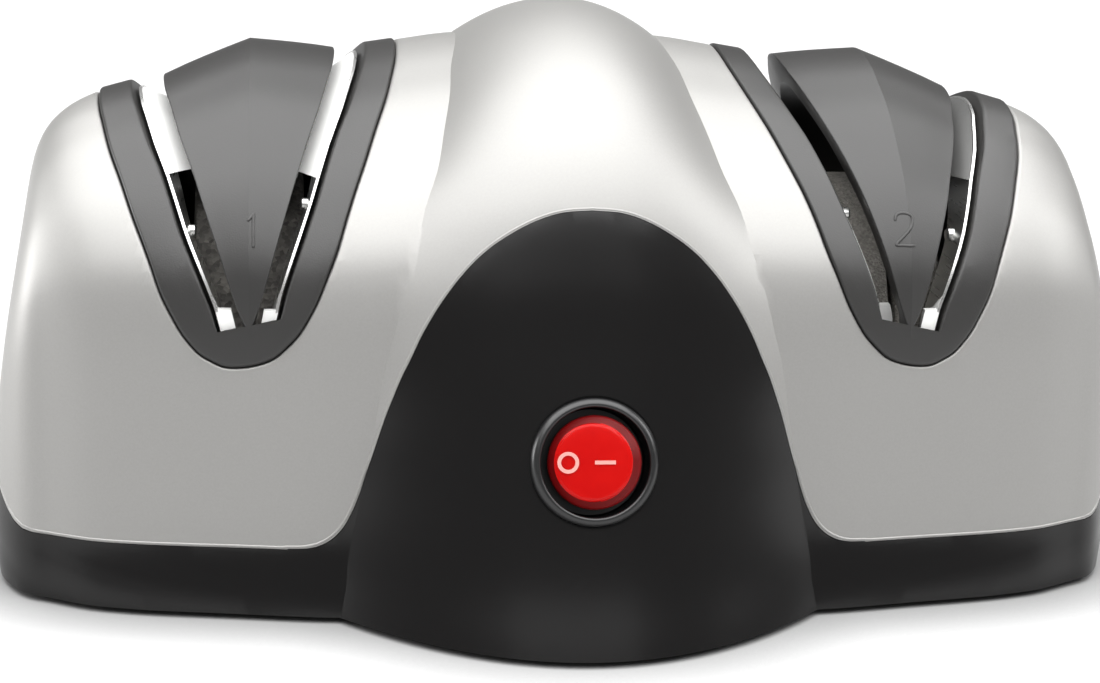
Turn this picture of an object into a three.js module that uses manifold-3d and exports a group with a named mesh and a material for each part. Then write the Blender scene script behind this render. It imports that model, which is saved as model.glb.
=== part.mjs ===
// Electric knife sharpener with a coarse and a fine grinding module.
// Millimetres, +Z up. The origin is the bottom centre, X runs along the length and the nose
// with the switch faces -Y.
import * as THREE from 'three';
import { mergeVertices } from 'three/addons/utils/BufferGeometryUtils.js';
import Module from 'manifold-3d';

const wasm = await Module();
wasm.setup();

// Body sizes
const bodyLength = 219.2;
const wingFront = 52.1;
const wingBack = 57;
const wingHeight = 97.5;
const domeHeight = 105.4;
const noseReach = 73.5;
const noseHalfWidth = 44.7;
const domeBack = 62;
const centreY = 4;
const centreZ = 22;
const wall = 2.4;
const seam = 0.3;
const bandHeight = 12.8;
const floorThickness = 2.4;
const footLift = 1.2;
const overrun = 10;

// Arch of the nose, and the arches of the base on the two ends
const archPeak = 75.8;
const archHalfWidth = 48.2;
const endArchPeak = 40.8;
const endArchHalfWidth = 32;
const endArchY = -6;
const endArchDepth = 14.6;

// Guide inserts and knife slots
const moduleSpacingShare = 0.55657;
const guideBottom = 46.6;
const guideHalfWidth = 28.2;
const slotBottom = 53.6;
const slotHalfWidth = 22;
const wedgeHalfWidth = 16.1;
const wedgeCrown = 3;
const guideDepth = 6;
const guideProud = 0.4;
const pocketClearance = 0.45;
const wedgeThickness = 4.6;
const flangeWidth = 2.4;
const flangeThickness = 1.6;
const fit = 0.3;

// Spring steel plates at the outer edges of the slots
const plateThickness = 0.8;
const plateClearance = 0.9;
const plateInset = 0.6;
const plateDepth = 8;
const tabWidth = 2.6;
const tabDepth = 3.4;
const tabHeight = 3;
const rivetRadius = 1.2;
const rivetHeight = 1.1;
const rivetRiseShare = 0.5916;
const rivetInset = 5.8;
const leafLean = 2.8;
const leafDepth = 5.6;

// Grinding wheels and their clamping
const shaftHeightShare = 0.42564;
const shaftRadius = 4;
const shaftEndRadius = 3;
const wheelClearance = 6.6;
const wheelThickness = 9.6;
const wheelGap = 1.4;
const wheelBevel = 1.4;
const wheelRecess = 2.6;
const wheelRecessShare = 0.543;
const sleeveRadius = 7;
const washerShare = 0.447;
const washerThickness = 1.4;
const nutRadius = 6.4;
const nutThickness = 5;
const shaftOverhang = 2.5;

// Motor with a laminated frame, one coil and a rotor in two bearing brackets
const statorWidth = 48;
const statorYoke = 7.1;
const statorLength = 24;
const statorCorner = 5;
const legBottomShare = 0.261;
const legTopShare = 0.588;
const windowTopShare = 0.833;
const armWidth = 10;
const boreRadius = 13.4;
const airGap = 0.5;
const rotorTeeth = 12;
const rotorToothDepth = 2;
const bracketOffset = 9;
const bracketThickness = 2.6;
const bracketHalfWidth = 22;
const bracketHalfHeight = 8;
const postRadius = 3;
const postY = 19;
const bearingRadius = 6.4;
const bearingLength = 9;
const bearingHousing = 2.4;
const fanRadius = 19;
const fanDisc = 1.4;
const fanHubRadius = 7.5;
const fanHubLength = 6;
const fanBladeWidth = 5;
const fanBladeThickness = 1.3;

// Switch, in the nose
const switchZ = 33.6;
const bezelRadius = 11.6;
const bezelThickness = 2;
const bezelBevel = 0.8;
const seatDepth = 1.1;
const barrelRadius = 9.8;
const barrelDepth = 15;
const wellRadius = 9;
const wellDepth = 6.6;
const rockerRadius = 8.4;
const rockerRise = 0.9;
const rockerThickness = 5;
const rockerEdge = 0.7;
const rockerRidge = 0.6;
const rockerPivotDepth = 1.8;
const rockerTilt = 6;
const terminalWidth = 4.8;
const terminalThickness = 0.8;
const terminalLength = 7;
const terminalSpacing = 5.5;

// Base inside: partitions, motor rests and screw bosses
const partitionThickness = 2;
const partitionDrop = 5.5;
const restWidth = 8;
const bossRadius = 3.6;
const bossHoleRadius = 1.4;
const bossTop = 20;
const endBossInset = 13;
const endBossY = -6;
const backBossX = 20;
const backBossY = 44;

// Feet and cord inlet
const footRadius = 7;
const footHeight = 3.4;
const footPad = 2;
const footInsetX = 24;
const footFrontY = 32;
const footBackY = 22;
const inletZ = 7.2;
const inletBushRadius = 4;
const inletBoreRadius = 2.7;
const inletFlangeRadius = 5;
const inletFlangeThickness = 1.6;
const inletSeatDepth = 0.8;

// Counts
const outsideCounts = { ring: 22, steps: 22, columns: 8 };
const insideCounts = { ring: 10, steps: 9, columns: 4 };
const wheelSides = 20;
const switchSides = 26;
const roundSides = 16;
const bearingSides = 12;
const fanSides = 12;
const smallSides = 10;

// Stations of the wing sections over the half length, for the outside and for the inside
const outsideStationShares = [0, 0.2, 0.38, 0.54, 0.67, 0.78, 0.87, 0.93, 0.97, 0.992];
const insideStationShares = [0, 0.3, 0.58, 0.8, 0.93, 0.985];

// Derived values
const halfLength = bodyLength / 2;
const moduleX = bodyLength * moduleSpacingShare / 2;
const floorTop = footLift + floorThickness;
const shaftHeight = wingHeight * shaftHeightShare;
const wheelInner = moduleX - wheelGap / 2 - wheelThickness;
const wheelOuter = moduleX + wheelGap / 2 + wheelThickness;
const bracketInner = statorLength / 2 + bracketOffset;
const bracketOuter = bracketInner + bracketThickness;
const bearingEnd = bracketInner + bearingLength;
const fanEnd = bearingEnd + fit + fanHubLength;
const motorRoom = shaftHeight - boreRadius - floorTop;
const statorBottom = floorTop + motorRoom * legBottomShare;
const legTop = floorTop + motorRoom * legTopShare;
const windowTop = floorTop + motorRoom * windowTopShare;
const statorTop = shaftHeight + boreRadius + statorYoke;
const partitionX = (fanEnd + wheelInner) / 2;
const partitionHeight = shaftHeight - shaftRadius - partitionDrop;
const endRoundness = 10;

// Side profile of a wing as shares of its front or back reach and of its height
const wingProfileShares = [
  [-1.05, -0.3], [-1.0, 0], [-0.917, 0.136], [-0.872, 0.313], [-0.828, 0.522], [-0.795, 0.606],
  [-0.747, 0.679], [-0.662, 0.747], [-0.54, 0.815], [-0.384, 0.8725], [-0.192, 0.928],
  [0, 0.9655], [0.1, 0.984], [0.2, 0.996], [0.3, 1], [0.42, 0.99], [0.55, 0.962], [0.68, 0.915],
  [0.8, 0.84], [0.89, 0.73], [0.945, 0.6], [0.975, 0.45], [0.985, 0.3], [1.0, 0.136], [1.02, 0],
  [1.04, -0.3],
];

// Over the half length: height, front depth and back depth of the section, and its middle
const heightShares = [
  [0, 1.004], [0.19, 1.0], [0.3, 0.984], [0.42, 0.966], [0.56, 0.946], [0.7, 0.93], [0.8, 0.921],
  [1, 0.897],
];
const frontShares = [
  [0, 1.0], [0.19, 1.0], [0.41, 0.946], [0.56, 0.835], [0.81, 0.665], [0.89, 0.59], [0.935, 0.555],
  [0.963, 0.5], [1, 0.4],
];
const backShares = [
  [0, 1.0], [0.19, 1.0], [0.4, 0.97], [0.56, 0.92], [0.8, 0.76], [0.93, 0.6], [1, 0.42],
];
const middleShares = [[0, 1], [0.19, 1], [0.41, 0.25], [0.56, -0.75], [0.8, -2], [1, -2.5]];
const endLeanShares = [
  [-0.3, 0.955], [0, 0.985], [0.08, 0.996], [0.15, 1], [0.27, 0.991], [0.37, 0.98], [0.47, 0.968],
  [0.555, 0.957], [0.64, 0.947], [0.72, 0.941], [0.8, 0.94], [1, 0.945],
];

// Dome and nose: half width, crease y, crease z, apex y, apex z as shares of the nose half
// width, of the front or back reaches and of the wing and dome heights
const domeShares = [
  [1.03, -1.035, -0.09, -1.05, -0.08], [1.0, -1.004, 0, -1.0, 0],
  [0.966, -0.917, 0.136, -0.907, 0.123], [0.899, -0.87, 0.308, -0.814, 0.294],
  [0.808, -0.835, 0.508, -0.719, 0.484], [0.74, -0.764, 0.645, -0.655, 0.617],
  [0.685, -0.633, 0.748, -0.581, 0.735], [0.64, -0.474, 0.812, -0.46, 0.844],
  [0.586, -0.234, 0.887, -0.258, 0.939], [0.521, 0.093, 0.965, 0.032, 0.998],
  [0.477, 0.416, 0.986, 0.37, 0.987], [0.49, 0.667, 0.912, 0.66, 0.9],
  [0.56, 0.851, 0.776, 0.855, 0.757], [0.65, 0.93, 0.636, 0.944, 0.567],
  [0.72, 0.965, 0.41, 0.976, 0.36], [0.76, 0.982, 0.144, 0.992, 0.123],
  [0.78, 1.0, 0, 1.008, 0], [0.79, 1.0, -0.09, 1.016, -0.08],
];

// Nose arch outline as shares of its half width and peak
const archShares = [
  [0, 1], [0.11, 0.994], [0.21, 0.973], [0.31, 0.938], [0.395, 0.898], [0.475, 0.846],
  [0.545, 0.787], [0.592, 0.739], [0.632, 0.691], [0.665, 0.644], [0.7, 0.596], [0.728, 0.55],
  [0.755, 0.503], [0.78, 0.453], [0.805, 0.401], [0.832, 0.352], [0.856, 0.3], [0.886, 0.252],
  [0.925, 0.21], [0.965, 0.184], [1, 0.172],
];

// V outlines over the height of the module section: half widths as shares
const guideOutlineShares = [
  [0, 0], [0.013, 0.152], [0.045, 0.234], [0.083, 0.309], [0.126, 0.362], [0.192, 0.429],
  [0.267, 0.486], [0.363, 0.553], [0.471, 0.613], [0.569, 0.674], [0.67, 0.745], [0.776, 0.823],
  [0.861, 0.894], [0.938, 0.954], [1, 1], [1.2, 1.09],
];
const slotOutlineShares = [
  [0, 0.25], [0.137, 0.323], [0.26, 0.405], [0.373, 0.486], [0.494, 0.573], [0.624, 0.655],
  [0.747, 0.75], [0.837, 0.841], [0.937, 0.936], [1, 1], [1.3, 1.25],
];
const wedgeOutlineShares = [
  [0, 0.037], [0.093, 0.13], [0.203, 0.217], [0.336, 0.317], [0.471, 0.429], [0.604, 0.547],
  [0.712, 0.652], [0.825, 0.783], [0.957, 0.938], [1, 1], [1.3, 1.3],
];

const degree = Math.PI / 180;

// Smooth value of a table of pairs at a place
function along(table, place) {
  const last = table.length - 1;
  if (place <= table[0][0]) return table[0][1];
  if (place >= table[last][0]) return table[last][1];
  let i = 0;
  while (place > table[i + 1][0]) i += 1;
  const slope = (k) => {
    const a = table[Math.max(k - 1, 0)];
    const b = table[Math.min(k + 1, last)];
    return (b[1] - a[1]) / (b[0] - a[0]);
  };
  const [x0, y0] = table[i];
  const [x1, y1] = table[i + 1];
  const h = x1 - x0;
  const t = (place - x0) / h;
  const t2 = t * t;
  const t3 = t2 * t;
  return y0 * (2 * t3 - 3 * t2 + 1) + slope(i) * h * (t3 - 2 * t2 + t)
    + y1 * (3 * t2 - 2 * t3) + slope(i + 1) * h * (t3 - t2);
}

// Closed wing profile about its centre, smoothed
const profileCurve = new THREE.SplineCurve(wingProfileShares.map(([y, z]) => new THREE.Vector2(
  y * (y < 0 ? wingFront : wingBack) - centreY,
  z * wingHeight - centreZ,
)));
const profileOutline = profileCurve.getPoints(92);

function radiusAt(outline, dx, dy) {
  let best = 0;
  for (let i = 0; i < outline.length; i += 1) {
    const a = outline[i];
    const b = outline[(i + 1) % outline.length];
    const ex = b.x - a.x;
    const ey = b.y - a.y;
    const cross = dx * ey - dy * ex;
    if (cross !== 0) {
      const reach = (a.x * ey - a.y * ex) / cross;
      const share = (a.x * dy - a.y * dx) / cross;
      if (reach > 0 && share >= 0 && share <= 1) best = Math.max(best, reach);
    }
  }
  return best;
}

// Middle of the wing section at a place x, and the distance from it to the surface
function wingMiddle(x, inset) {
  return centreY * along(middleShares, Math.min(Math.abs(x) / (halfLength - inset), 1));
}

function wingReach(x, angle, inset) {
  const share = Math.min(Math.abs(x) / (halfLength - inset), 1);
  const tall = along(heightShares, share);
  const cos = Math.cos(angle);
  const sin = Math.sin(angle);
  const deep = along(cos < 0 ? frontShares : backShares, share);
  const topScale = (tall * wingHeight - centreZ) / (wingHeight - centreZ);
  const scaleZ = sin > 0 ? topScale : 1;
  const stretched = Math.hypot(cos / deep, sin / scaleZ);
  const full = radiusAt(profileOutline, cos / deep / stretched, sin / scaleZ / stretched) / stretched;
  let low = 0;
  let high = full;
  for (let i = 0; i < 30; i += 1) {
    const mid = (low + high) / 2;
    const lean = along(endLeanShares, (centreZ + mid * sin) / wingHeight);
    const value = (mid / full) ** endRoundness + (share / lean) ** endRoundness;
    if (value < 1) low = mid; else high = mid;
  }
  return Math.max(low - inset, 0);
}

function wingPoint(x, angle, inset) {
  const reach = wingReach(x, angle, inset);
  return new THREE.Vector3(
    x,
    wingMiddle(x, inset) + reach * Math.cos(angle),
    centreZ + reach * Math.sin(angle),
  );
}

// Solids from closed geometries, with the faces turned outwards
function solid(geometry) {
  const plain = geometry.clone();
  plain.deleteAttribute('normal');
  plain.deleteAttribute('uv');
  const merged = mergeVertices(plain, 1e-4);
  const source = merged.index.array;
  const at = merged.attributes.position.array;
  const kept = [];
  let volume = 0;
  for (let i = 0; i < source.length; i += 3) {
    const [a, b, c] = [source[i], source[i + 1], source[i + 2]];
    if (a !== b && b !== c && c !== a) {
      kept.push(a, b, c);
      const p = new THREE.Vector3().fromArray(at, a * 3);
      const q = new THREE.Vector3().fromArray(at, b * 3);
      const r = new THREE.Vector3().fromArray(at, c * 3);
      volume += p.dot(q.cross(r));
    }
  }
  const turned = volume < 0 ? kept.reverse() : kept;
  return new wasm.Manifold(new wasm.Mesh({
    numProp: 3,
    vertProperties: new Float32Array(at),
    triVerts: new Uint32Array(turned),
  }));
}

// Closed solid between two grids of points of the same size. On a grid that is the same on both
// sides of its middle column, the quads are split like mirror images too.
function gridSolid(outer, inner, symmetric = false) {
  const rows = outer.length;
  const columns = outer[0].length;
  const points = [];
  const faces = [];
  for (const grid of [outer, inner]) {
    for (const row of grid) for (const p of row) points.push(p.x, p.y, p.z);
  }
  const at = (side, i, j) => side * rows * columns + i * columns + j;
  const quad = (a, b, c, d, flip = false) => {
    if (flip) faces.push(b, c, d, b, d, a); else faces.push(a, b, c, a, c, d);
  };
  for (let i = 0; i < rows - 1; i += 1) {
    for (let j = 0; j < columns - 1; j += 1) {
      const flip = symmetric && j < (columns - 1) / 2;
      quad(at(0, i, j), at(0, i, j + 1), at(0, i + 1, j + 1), at(0, i + 1, j), flip);
      quad(at(1, i, j), at(1, i + 1, j), at(1, i + 1, j + 1), at(1, i, j + 1), flip);
    }
    quad(at(0, i + 1, 0), at(1, i + 1, 0), at(1, i, 0), at(0, i, 0));
    const k = columns - 1;
    quad(at(0, i, k), at(1, i, k), at(1, i + 1, k), at(0, i + 1, k));
  }
  for (let j = 0; j < columns - 1; j += 1) {
    quad(at(0, 0, j), at(1, 0, j), at(1, 0, j + 1), at(0, 0, j + 1));
    const k = rows - 1;
    quad(at(0, k, j + 1), at(1, k, j + 1), at(1, k, j), at(0, k, j));
  }
  const geometry = new THREE.BufferGeometry();
  geometry.setAttribute('position', new THREE.Float32BufferAttribute(points, 3));
  geometry.setIndex(faces);
  return solid(geometry);
}

function box(x0, x1, y0, y1, z0, z1) {
  const geometry = new THREE.BoxGeometry(x1 - x0, y1 - y0, z1 - z0);
  geometry.translate((x0 + x1) / 2, (y0 + y1) / 2, (z0 + z1) / 2);
  return solid(geometry);
}

// Prism of an outline drawn in X and Z, running along Y
function prismY(points, y0, y1) {
  const shape = new THREE.Shape(points.map(([x, z]) => new THREE.Vector2(x, z)));
  const geometry = new THREE.ExtrudeGeometry(shape, { depth: y1 - y0, bevelEnabled: false });
  geometry.rotateX(Math.PI / 2);
  geometry.translate(0, y1, 0);
  return solid(geometry);
}

// Prism of an outline drawn in Y and Z, running along X
function prismX(points, x0, x1, holes = []) {
  const shape = new THREE.Shape(points.map(([y, z]) => new THREE.Vector2(y, z)));
  for (const hole of holes) {
    shape.holes.push(new THREE.Path(hole.map(([y, z]) => new THREE.Vector2(y, z))));
  }
  const geometry = new THREE.ExtrudeGeometry(shape, { depth: x1 - x0, bevelEnabled: false });
  geometry.rotateX(Math.PI / 2);
  geometry.rotateZ(Math.PI / 2);
  geometry.translate(x0, 0, 0);
  return solid(geometry);
}

// Turned solid about the X axis line of the shaft, profile in (x, radius)
function turnedX(profile, sides) {
  const geometry = new THREE.LatheGeometry(
    profile.map(([x, radius]) => new THREE.Vector2(radius, x)),
    sides,
  );
  geometry.rotateZ(-Math.PI / 2);
  geometry.translate(0, 0, shaftHeight);
  const made = solid(geometry);
  return made;
}

function turned(profile, sides) {
  return solid(new THREE.LatheGeometry(
    profile.map(([radius, z]) => new THREE.Vector2(radius, z)),
    sides,
  ).rotateX(Math.PI / 2));
}

function ringX(x0, x1, inner, outer, sides) {
  return turnedX([[x0, inner], [x0, outer], [x1, outer], [x1, inner], [x0, inner]], sides);
}

// Mirror image of a solid through the YZ plane
function mirrored(made) {
  return made.mirror([1, 0, 0]);
}

// Outer body: the two wings as one loaf, and the dome that runs into the nose
function wingBody(inset, stationShares, count) {
  const reachX = halfLength - inset;
  const points = [];
  const faces = [];
  const angles = profileCurve.getSpacedPoints(count).map((p) => Math.atan2(p.y, p.x));
  const low = [angles[count], angles[0]];
  angles.push(low[0] * 2 / 3 + (low[1] - 0) / 3, low[0] / 3 + low[1] * 2 / 3);
  const ring = angles.length;
  const places = [...stationShares.slice(1).map((s) => -s).reverse(), ...stationShares];
  for (const place of places) {
    for (const angle of angles) {
      const p = wingPoint(place * reachX, angle, inset);
      points.push(p.x, p.y, p.z);
    }
  }
  const rings = places.length;
  for (let i = 0; i < rings - 1; i += 1) {
    for (let j = 0; j < ring; j += 1) {
      const k = (j + 1) % ring;
      const a = i * ring + j;
      const b = i * ring + k;
      if (places[i] < 0) faces.push(a, a + ring, b + ring, a, b + ring, b);
      else faces.push(a, a + ring, b, b, a + ring, b + ring);
    }
  }
  const start = rings * ring;
  const far = start - ring;
  const endY = wingMiddle(reachX, inset);
  points.push(-reachX, endY, centreZ, reachX, endY, centreZ);
  for (let j = 0; j < ring; j += 1) {
    const k = (j + 1) % ring;
    faces.push(start, j, k);
    faces.push(start + 1, far + k, far + j);
  }
  const geometry = new THREE.BufferGeometry();
  geometry.setAttribute('position', new THREE.Float32BufferAttribute(points, 3));
  geometry.setIndex(faces);
  return solid(geometry);
}

const domeCrease = new THREE.CatmullRomCurve3(domeShares.map(([w, y, z]) => new THREE.Vector3(
  w * noseHalfWidth,
  y * (y < 0 ? wingFront : wingBack),
  z * wingHeight,
)));
const domeApex = new THREE.CatmullRomCurve3(domeShares.map((row) => new THREE.Vector3(
  0,
  row[3] * (row[3] < 0 ? noseReach : domeBack),
  row[4] * domeHeight,
)));

function domePoint(step, column, inset) {
  const crease = domeCrease.getPoint(step);
  const apex = domeApex.getPoint(step);
  const bend = column * column;
  const y = apex.y + (crease.y - apex.y) * bend;
  const z = apex.z + (crease.z - apex.z) * bend;
  const reach = Math.hypot(y - centreY, z - centreZ);
  const keep = (reach - inset) / reach;
  return new THREE.Vector3(
    column * (crease.x - inset),
    centreY + (y - centreY) * keep,
    centreZ + (z - centreZ) * keep,
  );
}

function domeBody(inset, counts) {
  const overlapShare = 1.08;
  const coreShare = 0.12;
  const outer = [];
  const inner = [];
  for (let i = 0; i <= counts.steps; i += 1) {
    const outerRow = [];
    const innerRow = [];
    for (let j = 0; j <= counts.columns; j += 1) {
      const column = (2 * j / counts.columns - 1) * overlapShare;
      const p = domePoint(i / counts.steps, column, inset);
      outerRow.push(p);
      innerRow.push(new THREE.Vector3(
        p.x,
        centreY + (p.y - centreY) * coreShare,
        centreZ + (p.z - centreZ) * coreShare,
      ));
    }
    outer.push(outerRow);
    inner.push(innerRow);
  }
  return gridSolid(outer, inner, true);
}

const bodyAt = new Map();
function outerBody(inset) {
  const counts = inset > 0 ? insideCounts : outsideCounts;
  const stationShares = inset > 0 ? insideStationShares : outsideStationShares;
  if (!bodyAt.has(inset)) {
    const wings = wingBody(inset, stationShares, counts.ring);
    bodyAt.set(inset, wings.add(domeBody(inset, counts)));
  }
  return bodyAt.get(inset);
}

// Angles over the module section at which its surface passes given heights
const moduleTop = wingPoint(moduleX, 0.42 * Math.PI, 0).z;
const rivetZ = slotBottom + (moduleTop - slotBottom) * rivetRiseShare;
function angleAtHeight(z, front) {
  let low = front ? 0.44 * Math.PI : 0.4 * Math.PI;
  let high = front ? 1.15 * Math.PI : -0.1 * Math.PI;
  for (let i = 0; i < 40; i += 1) {
    const mid = (low + high) / 2;
    if (wingPoint(moduleX, mid, 0).z > z) low = mid; else high = mid;
  }
  return (low + high) / 2;
}

// Half width of a V outline at a height of the module section
function outlineWidth(shares, bottom, halfWidth, z) {
  return along(shares, (z - bottom) / (moduleTop - bottom)) * halfWidth;
}
const guideWidth = (z) => outlineWidth(guideOutlineShares, guideBottom, guideHalfWidth, z);
const slotWidth = (z) => outlineWidth(slotOutlineShares, slotBottom, slotHalfWidth, z);
const wedgeWidth = (z) => outlineWidth(wedgeOutlineShares, slotBottom, wedgeHalfWidth, z);

// Shares of the height from the bottom of a V to its top, closer where the outline is round
const roundClimbShares = [0, 0.018, 0.06, 0.13, 0.24, 0.42, 0.65, 0.88];
const climbShares = [0, 0.06, 0.2, 0.42, 0.65, 0.88];

// Ribbon over the module from the front bottom over the top to the back bottom, as slabs between
// levels below the surface. A column is a share of the outline's half width, a fixed offset and
// a share of the crown, and the offset may lean further at depth. The offsets are worked out at the
// two faces of the guide frame, and all side walls follow the straight lines between these. Growth
// moves an outline outwards.
function ribbon(width, bottom, columns, levels, { grow = 0, crown = 0, round = false } = {}) {
  const from = round ? guideBottom : slotBottom;
  const slopeStep = seam / 2;
  const rows = (round ? roundClimbShares : climbShares).map((share, i) => {
    const z = i > 0 ? from + share * (moduleTop - from) : bottom;
    const slope = (width(z + slopeStep) - width(z)) / slopeStep;
    const lower = i > 0 ? z - grow * slope / Math.hypot(1, slope) : z - grow;
    const outward = i > 0 ? grow / Math.hypot(1, slope) : 0;
    return [lower, width(z) - width(lower) + outward];
  });
  const front = rows.map(([z, side]) => [angleAtHeight(z, true), side]);
  const back = rows.map(([z, side]) => [angleAtHeight(z, false), side]).reverse();
  const crest = [[0.45 * Math.PI, grow], [0.42 * Math.PI, grow]];
  const grids = levels.map(() => []);
  for (const [angle, side] of [...front, ...crest, ...back]) {
    const high = wingPoint(moduleX, angle, -guideProud).z;
    const deep = wingPoint(moduleX, angle, guideDepth).z;
    const lift = crown * (wedgeWidth(high) / wedgeHalfWidth);
    const lines = columns.map(([share, offset, rise, lean = 0]) => [
      wingPoint(moduleX + share * (width(high) + side) + offset, angle, -guideProud),
      wingPoint(moduleX + share * (width(deep) + side) + offset + lean, angle, guideDepth),
      rise * lift,
    ]);
    const place = ([start, end], level) => start.clone().lerp(
      end,
      (level + guideProud) / (guideDepth + guideProud),
    );
    levels.forEach((level, i) => {
      grids[i].push(lines.map((line) => place(line, i === 0 ? level - line[2] : level)));
    });
  }
  let made = gridSolid(grids[0], grids[1]);
  for (let i = 2; i < grids.length; i += 1) made = made.add(gridSolid(grids[i - 1], grids[i]));
  return made;
}

const frameColumns = [[-1, 0, 0], [0, 0, 0], [1, 0, 0]];
const sideColumns = [[-1, 0, 0], [1, 0, 0]];
const frameLevels = [-guideProud, guideDepth];
const throughLevels = [-overrun, ...frameLevels, guideDepth + overrun];

// Zones of the two mouldings
const archOutline = (grow) => {
  const right = archShares.map(([x, z]) => [x * archHalfWidth + grow * x, z * archPeak + grow]);
  const left = right.slice(1).map(([x, z]) => [-x, z]).reverse();
  const low = -overrun;
  return [...left, ...right, [archHalfWidth, low], [-archHalfWidth, low]];
};
const endArchOutline = (grow) => {
  const steps = 14;
  const list = [];
  for (let i = 0; i <= steps; i += 1) {
    const c = 2 * i / steps - 1;
    const rise = (1 - c * c) ** 2 * (endArchPeak - bandHeight);
    list.push([endArchY + c * (endArchHalfWidth + grow), bandHeight + grow + rise]);
  }
  const low = bandHeight - overrun;
  list.push([endArchY + endArchHalfWidth + grow, low], [endArchY - endArchHalfWidth - grow, low]);
  return list;
};
const farX = halfLength + overrun;
const farY = noseReach + overrun;
const farZ = domeHeight + overrun;
function baseZone(grow) {
  const arch = prismY(archOutline(grow), -farY, -wingFront / 2);
  const end = prismX(endArchOutline(grow), halfLength - endArchDepth - grow, farX);
  const slab = box(-farX, farX, -farY, farY, -overrun, bandHeight + grow);
  return slab.add(arch).add(end).add(mirrored(end));
}

const aboveFloor = (z) => box(-farX, farX, -farY, farY, z, farZ);

const bothSides = (made) => made.add(mirrored(made));
const postAt = (x, y, radius, z0, z1) => turned(
  [[0, z0], [radius, z0], [radius, z1], [0, z1]],
  smallSides,
).translate([x, y, 0]);

// Silver upper housing with its screw posts
const endBossX = halfLength - endBossInset;
const shell = outerBody(0).subtract(outerBody(wall));
const guidePocket = ribbon(
  guideWidth,
  guideBottom,
  sideColumns,
  throughLevels,
  { grow: pocketClearance, round: true },
);
const upperPosts = (x, y) => {
  const post = postAt(x, y, bossRadius, bossTop + fit, farZ);
  return post.intersect(outerBody(wall / 2));
};
let upperHousing = shell.subtract(baseZone(seam)).intersect(aboveFloor(0));
upperHousing = upperHousing.subtract(bothSides(guidePocket));
upperHousing = upperHousing.add(bothSides(upperPosts(endBossX, endBossY)));
upperHousing = upperHousing.add(bothSides(upperPosts(backBossX, backBossY)));

// Share of the middle line of the dome at a height, on the nose or at the back
function apexShare(z, onBack) {
  let low = onBack ? 1 : 0;
  let high = 0.5;
  for (let i = 0; i < 40; i += 1) {
    const mid = (low + high) / 2;
    if (domeApex.getPoint(mid).z < z) low = mid; else high = mid;
  }
  return low;
}

// Frame of the switch: its middle on the nose, and its outward direction
function switchFrame() {
  const share = apexShare(switchZ, false);
  const place = domeApex.getPoint(share);
  const along3 = domeApex.getTangent(share).normalize();
  const out = new THREE.Vector3(0, -along3.z, along3.y);
  const up = new THREE.Vector3(0, along3.y, along3.z);
  const matrix = new THREE.Matrix4().makeBasis(new THREE.Vector3(1, 0, 0), up, out);
  return matrix.setPosition(place);
}
const switchMatrix = switchFrame();
const onNose = (made) => made.transform(switchMatrix.elements);

// Black base with the nose, floor, partitions, motor rests, bosses and foot pockets
const inBase = outerBody(0).intersect(baseZone(0)).intersect(aboveFloor(footLift));
let base = inBase.subtract(outerBody(wall).intersect(aboveFloor(floorTop)));
const inside = outerBody(wall / 2).intersect(aboveFloor(floorTop - floorThickness / 2));
const partition = box(
  partitionX - partitionThickness / 2,
  partitionX + partitionThickness / 2,
  -wingFront,
  wingBack,
  footLift,
  partitionHeight,
).intersect(inside).subtract(baseClear());
function baseClear() {
  return box(-farX, farX, -farY, farY, bandHeight - seam, farZ).subtract(outerBody(wall + fit));
}
const restTop = statorBottom - fit;
const rest = (y0) => box(-statorLength / 2, statorLength / 2, y0, y0 + restWidth, footLift, restTop);
const footX = halfLength - footInsetX;
const feetPlaces = [[footX, -footFrontY], [footX, footBackY]];
const footPocket = ([x, y]) => postAt(x, y, footRadius + fit, 0, footHeight + fit);
const footBoss = ([x, y]) => postAt(x, y, footRadius + fit + footPad, footLift, footHeight + footPad);
base = base.add(bothSides(partition));
base = base.add(rest(-statorWidth / 2)).add(rest(statorWidth / 2 - restWidth));
for (const place of feetPlaces) {
  base = base.add(bothSides(footBoss(place).intersect(inside)));
}
for (const [x, y] of [[endBossX, endBossY], [backBossX, backBossY]]) {
  base = base.add(bothSides(postAt(x, y, bossRadius, footLift, bossTop).intersect(inside)));
  base = base.subtract(bothSides(postAt(x, y, bossHoleRadius, 0, bossTop + fit)));
}
for (const place of feetPlaces) base = base.subtract(bothSides(footPocket(place)));
const seatCut = turned(
  [[0, -seatDepth], [bezelRadius + fit, -seatDepth], [bezelRadius + fit, overrun], [0, overrun]],
  roundSides,
);
const panelHole = turned(
  [[0, -overrun], [barrelRadius + fit, -overrun], [barrelRadius + fit, overrun], [0, overrun]],
  roundSides,
);
const panelPad = turned(
  [
    [0, -seatDepth - wall], [bezelRadius + wall, -seatDepth - wall], [bezelRadius + wall, 0],
    [0, 0],
  ],
  roundSides,
);
base = base.add(onNose(panelPad).intersect(inBase));
base = base.subtract(onNose(seatCut)).subtract(onNose(panelHole));
const backWallY = domeApex.getPoint(apexShare(inletZ, true)).y;
const inletSeatY = backWallY - inletSeatDepth;
const inletPlace = (radius, y0, y1) => turned(
  [[0, y0], [radius, y0], [radius, y1], [0, y1]],
  smallSides,
).rotate([-90, 0, 0]).translate([0, 0, inletZ]);
base = base.subtract(inletPlace(inletBushRadius + fit, backWallY - overrun, backWallY + overrun));
base = base.subtract(inletPlace(inletFlangeRadius + fit, inletSeatY, backWallY + overrun));

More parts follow.
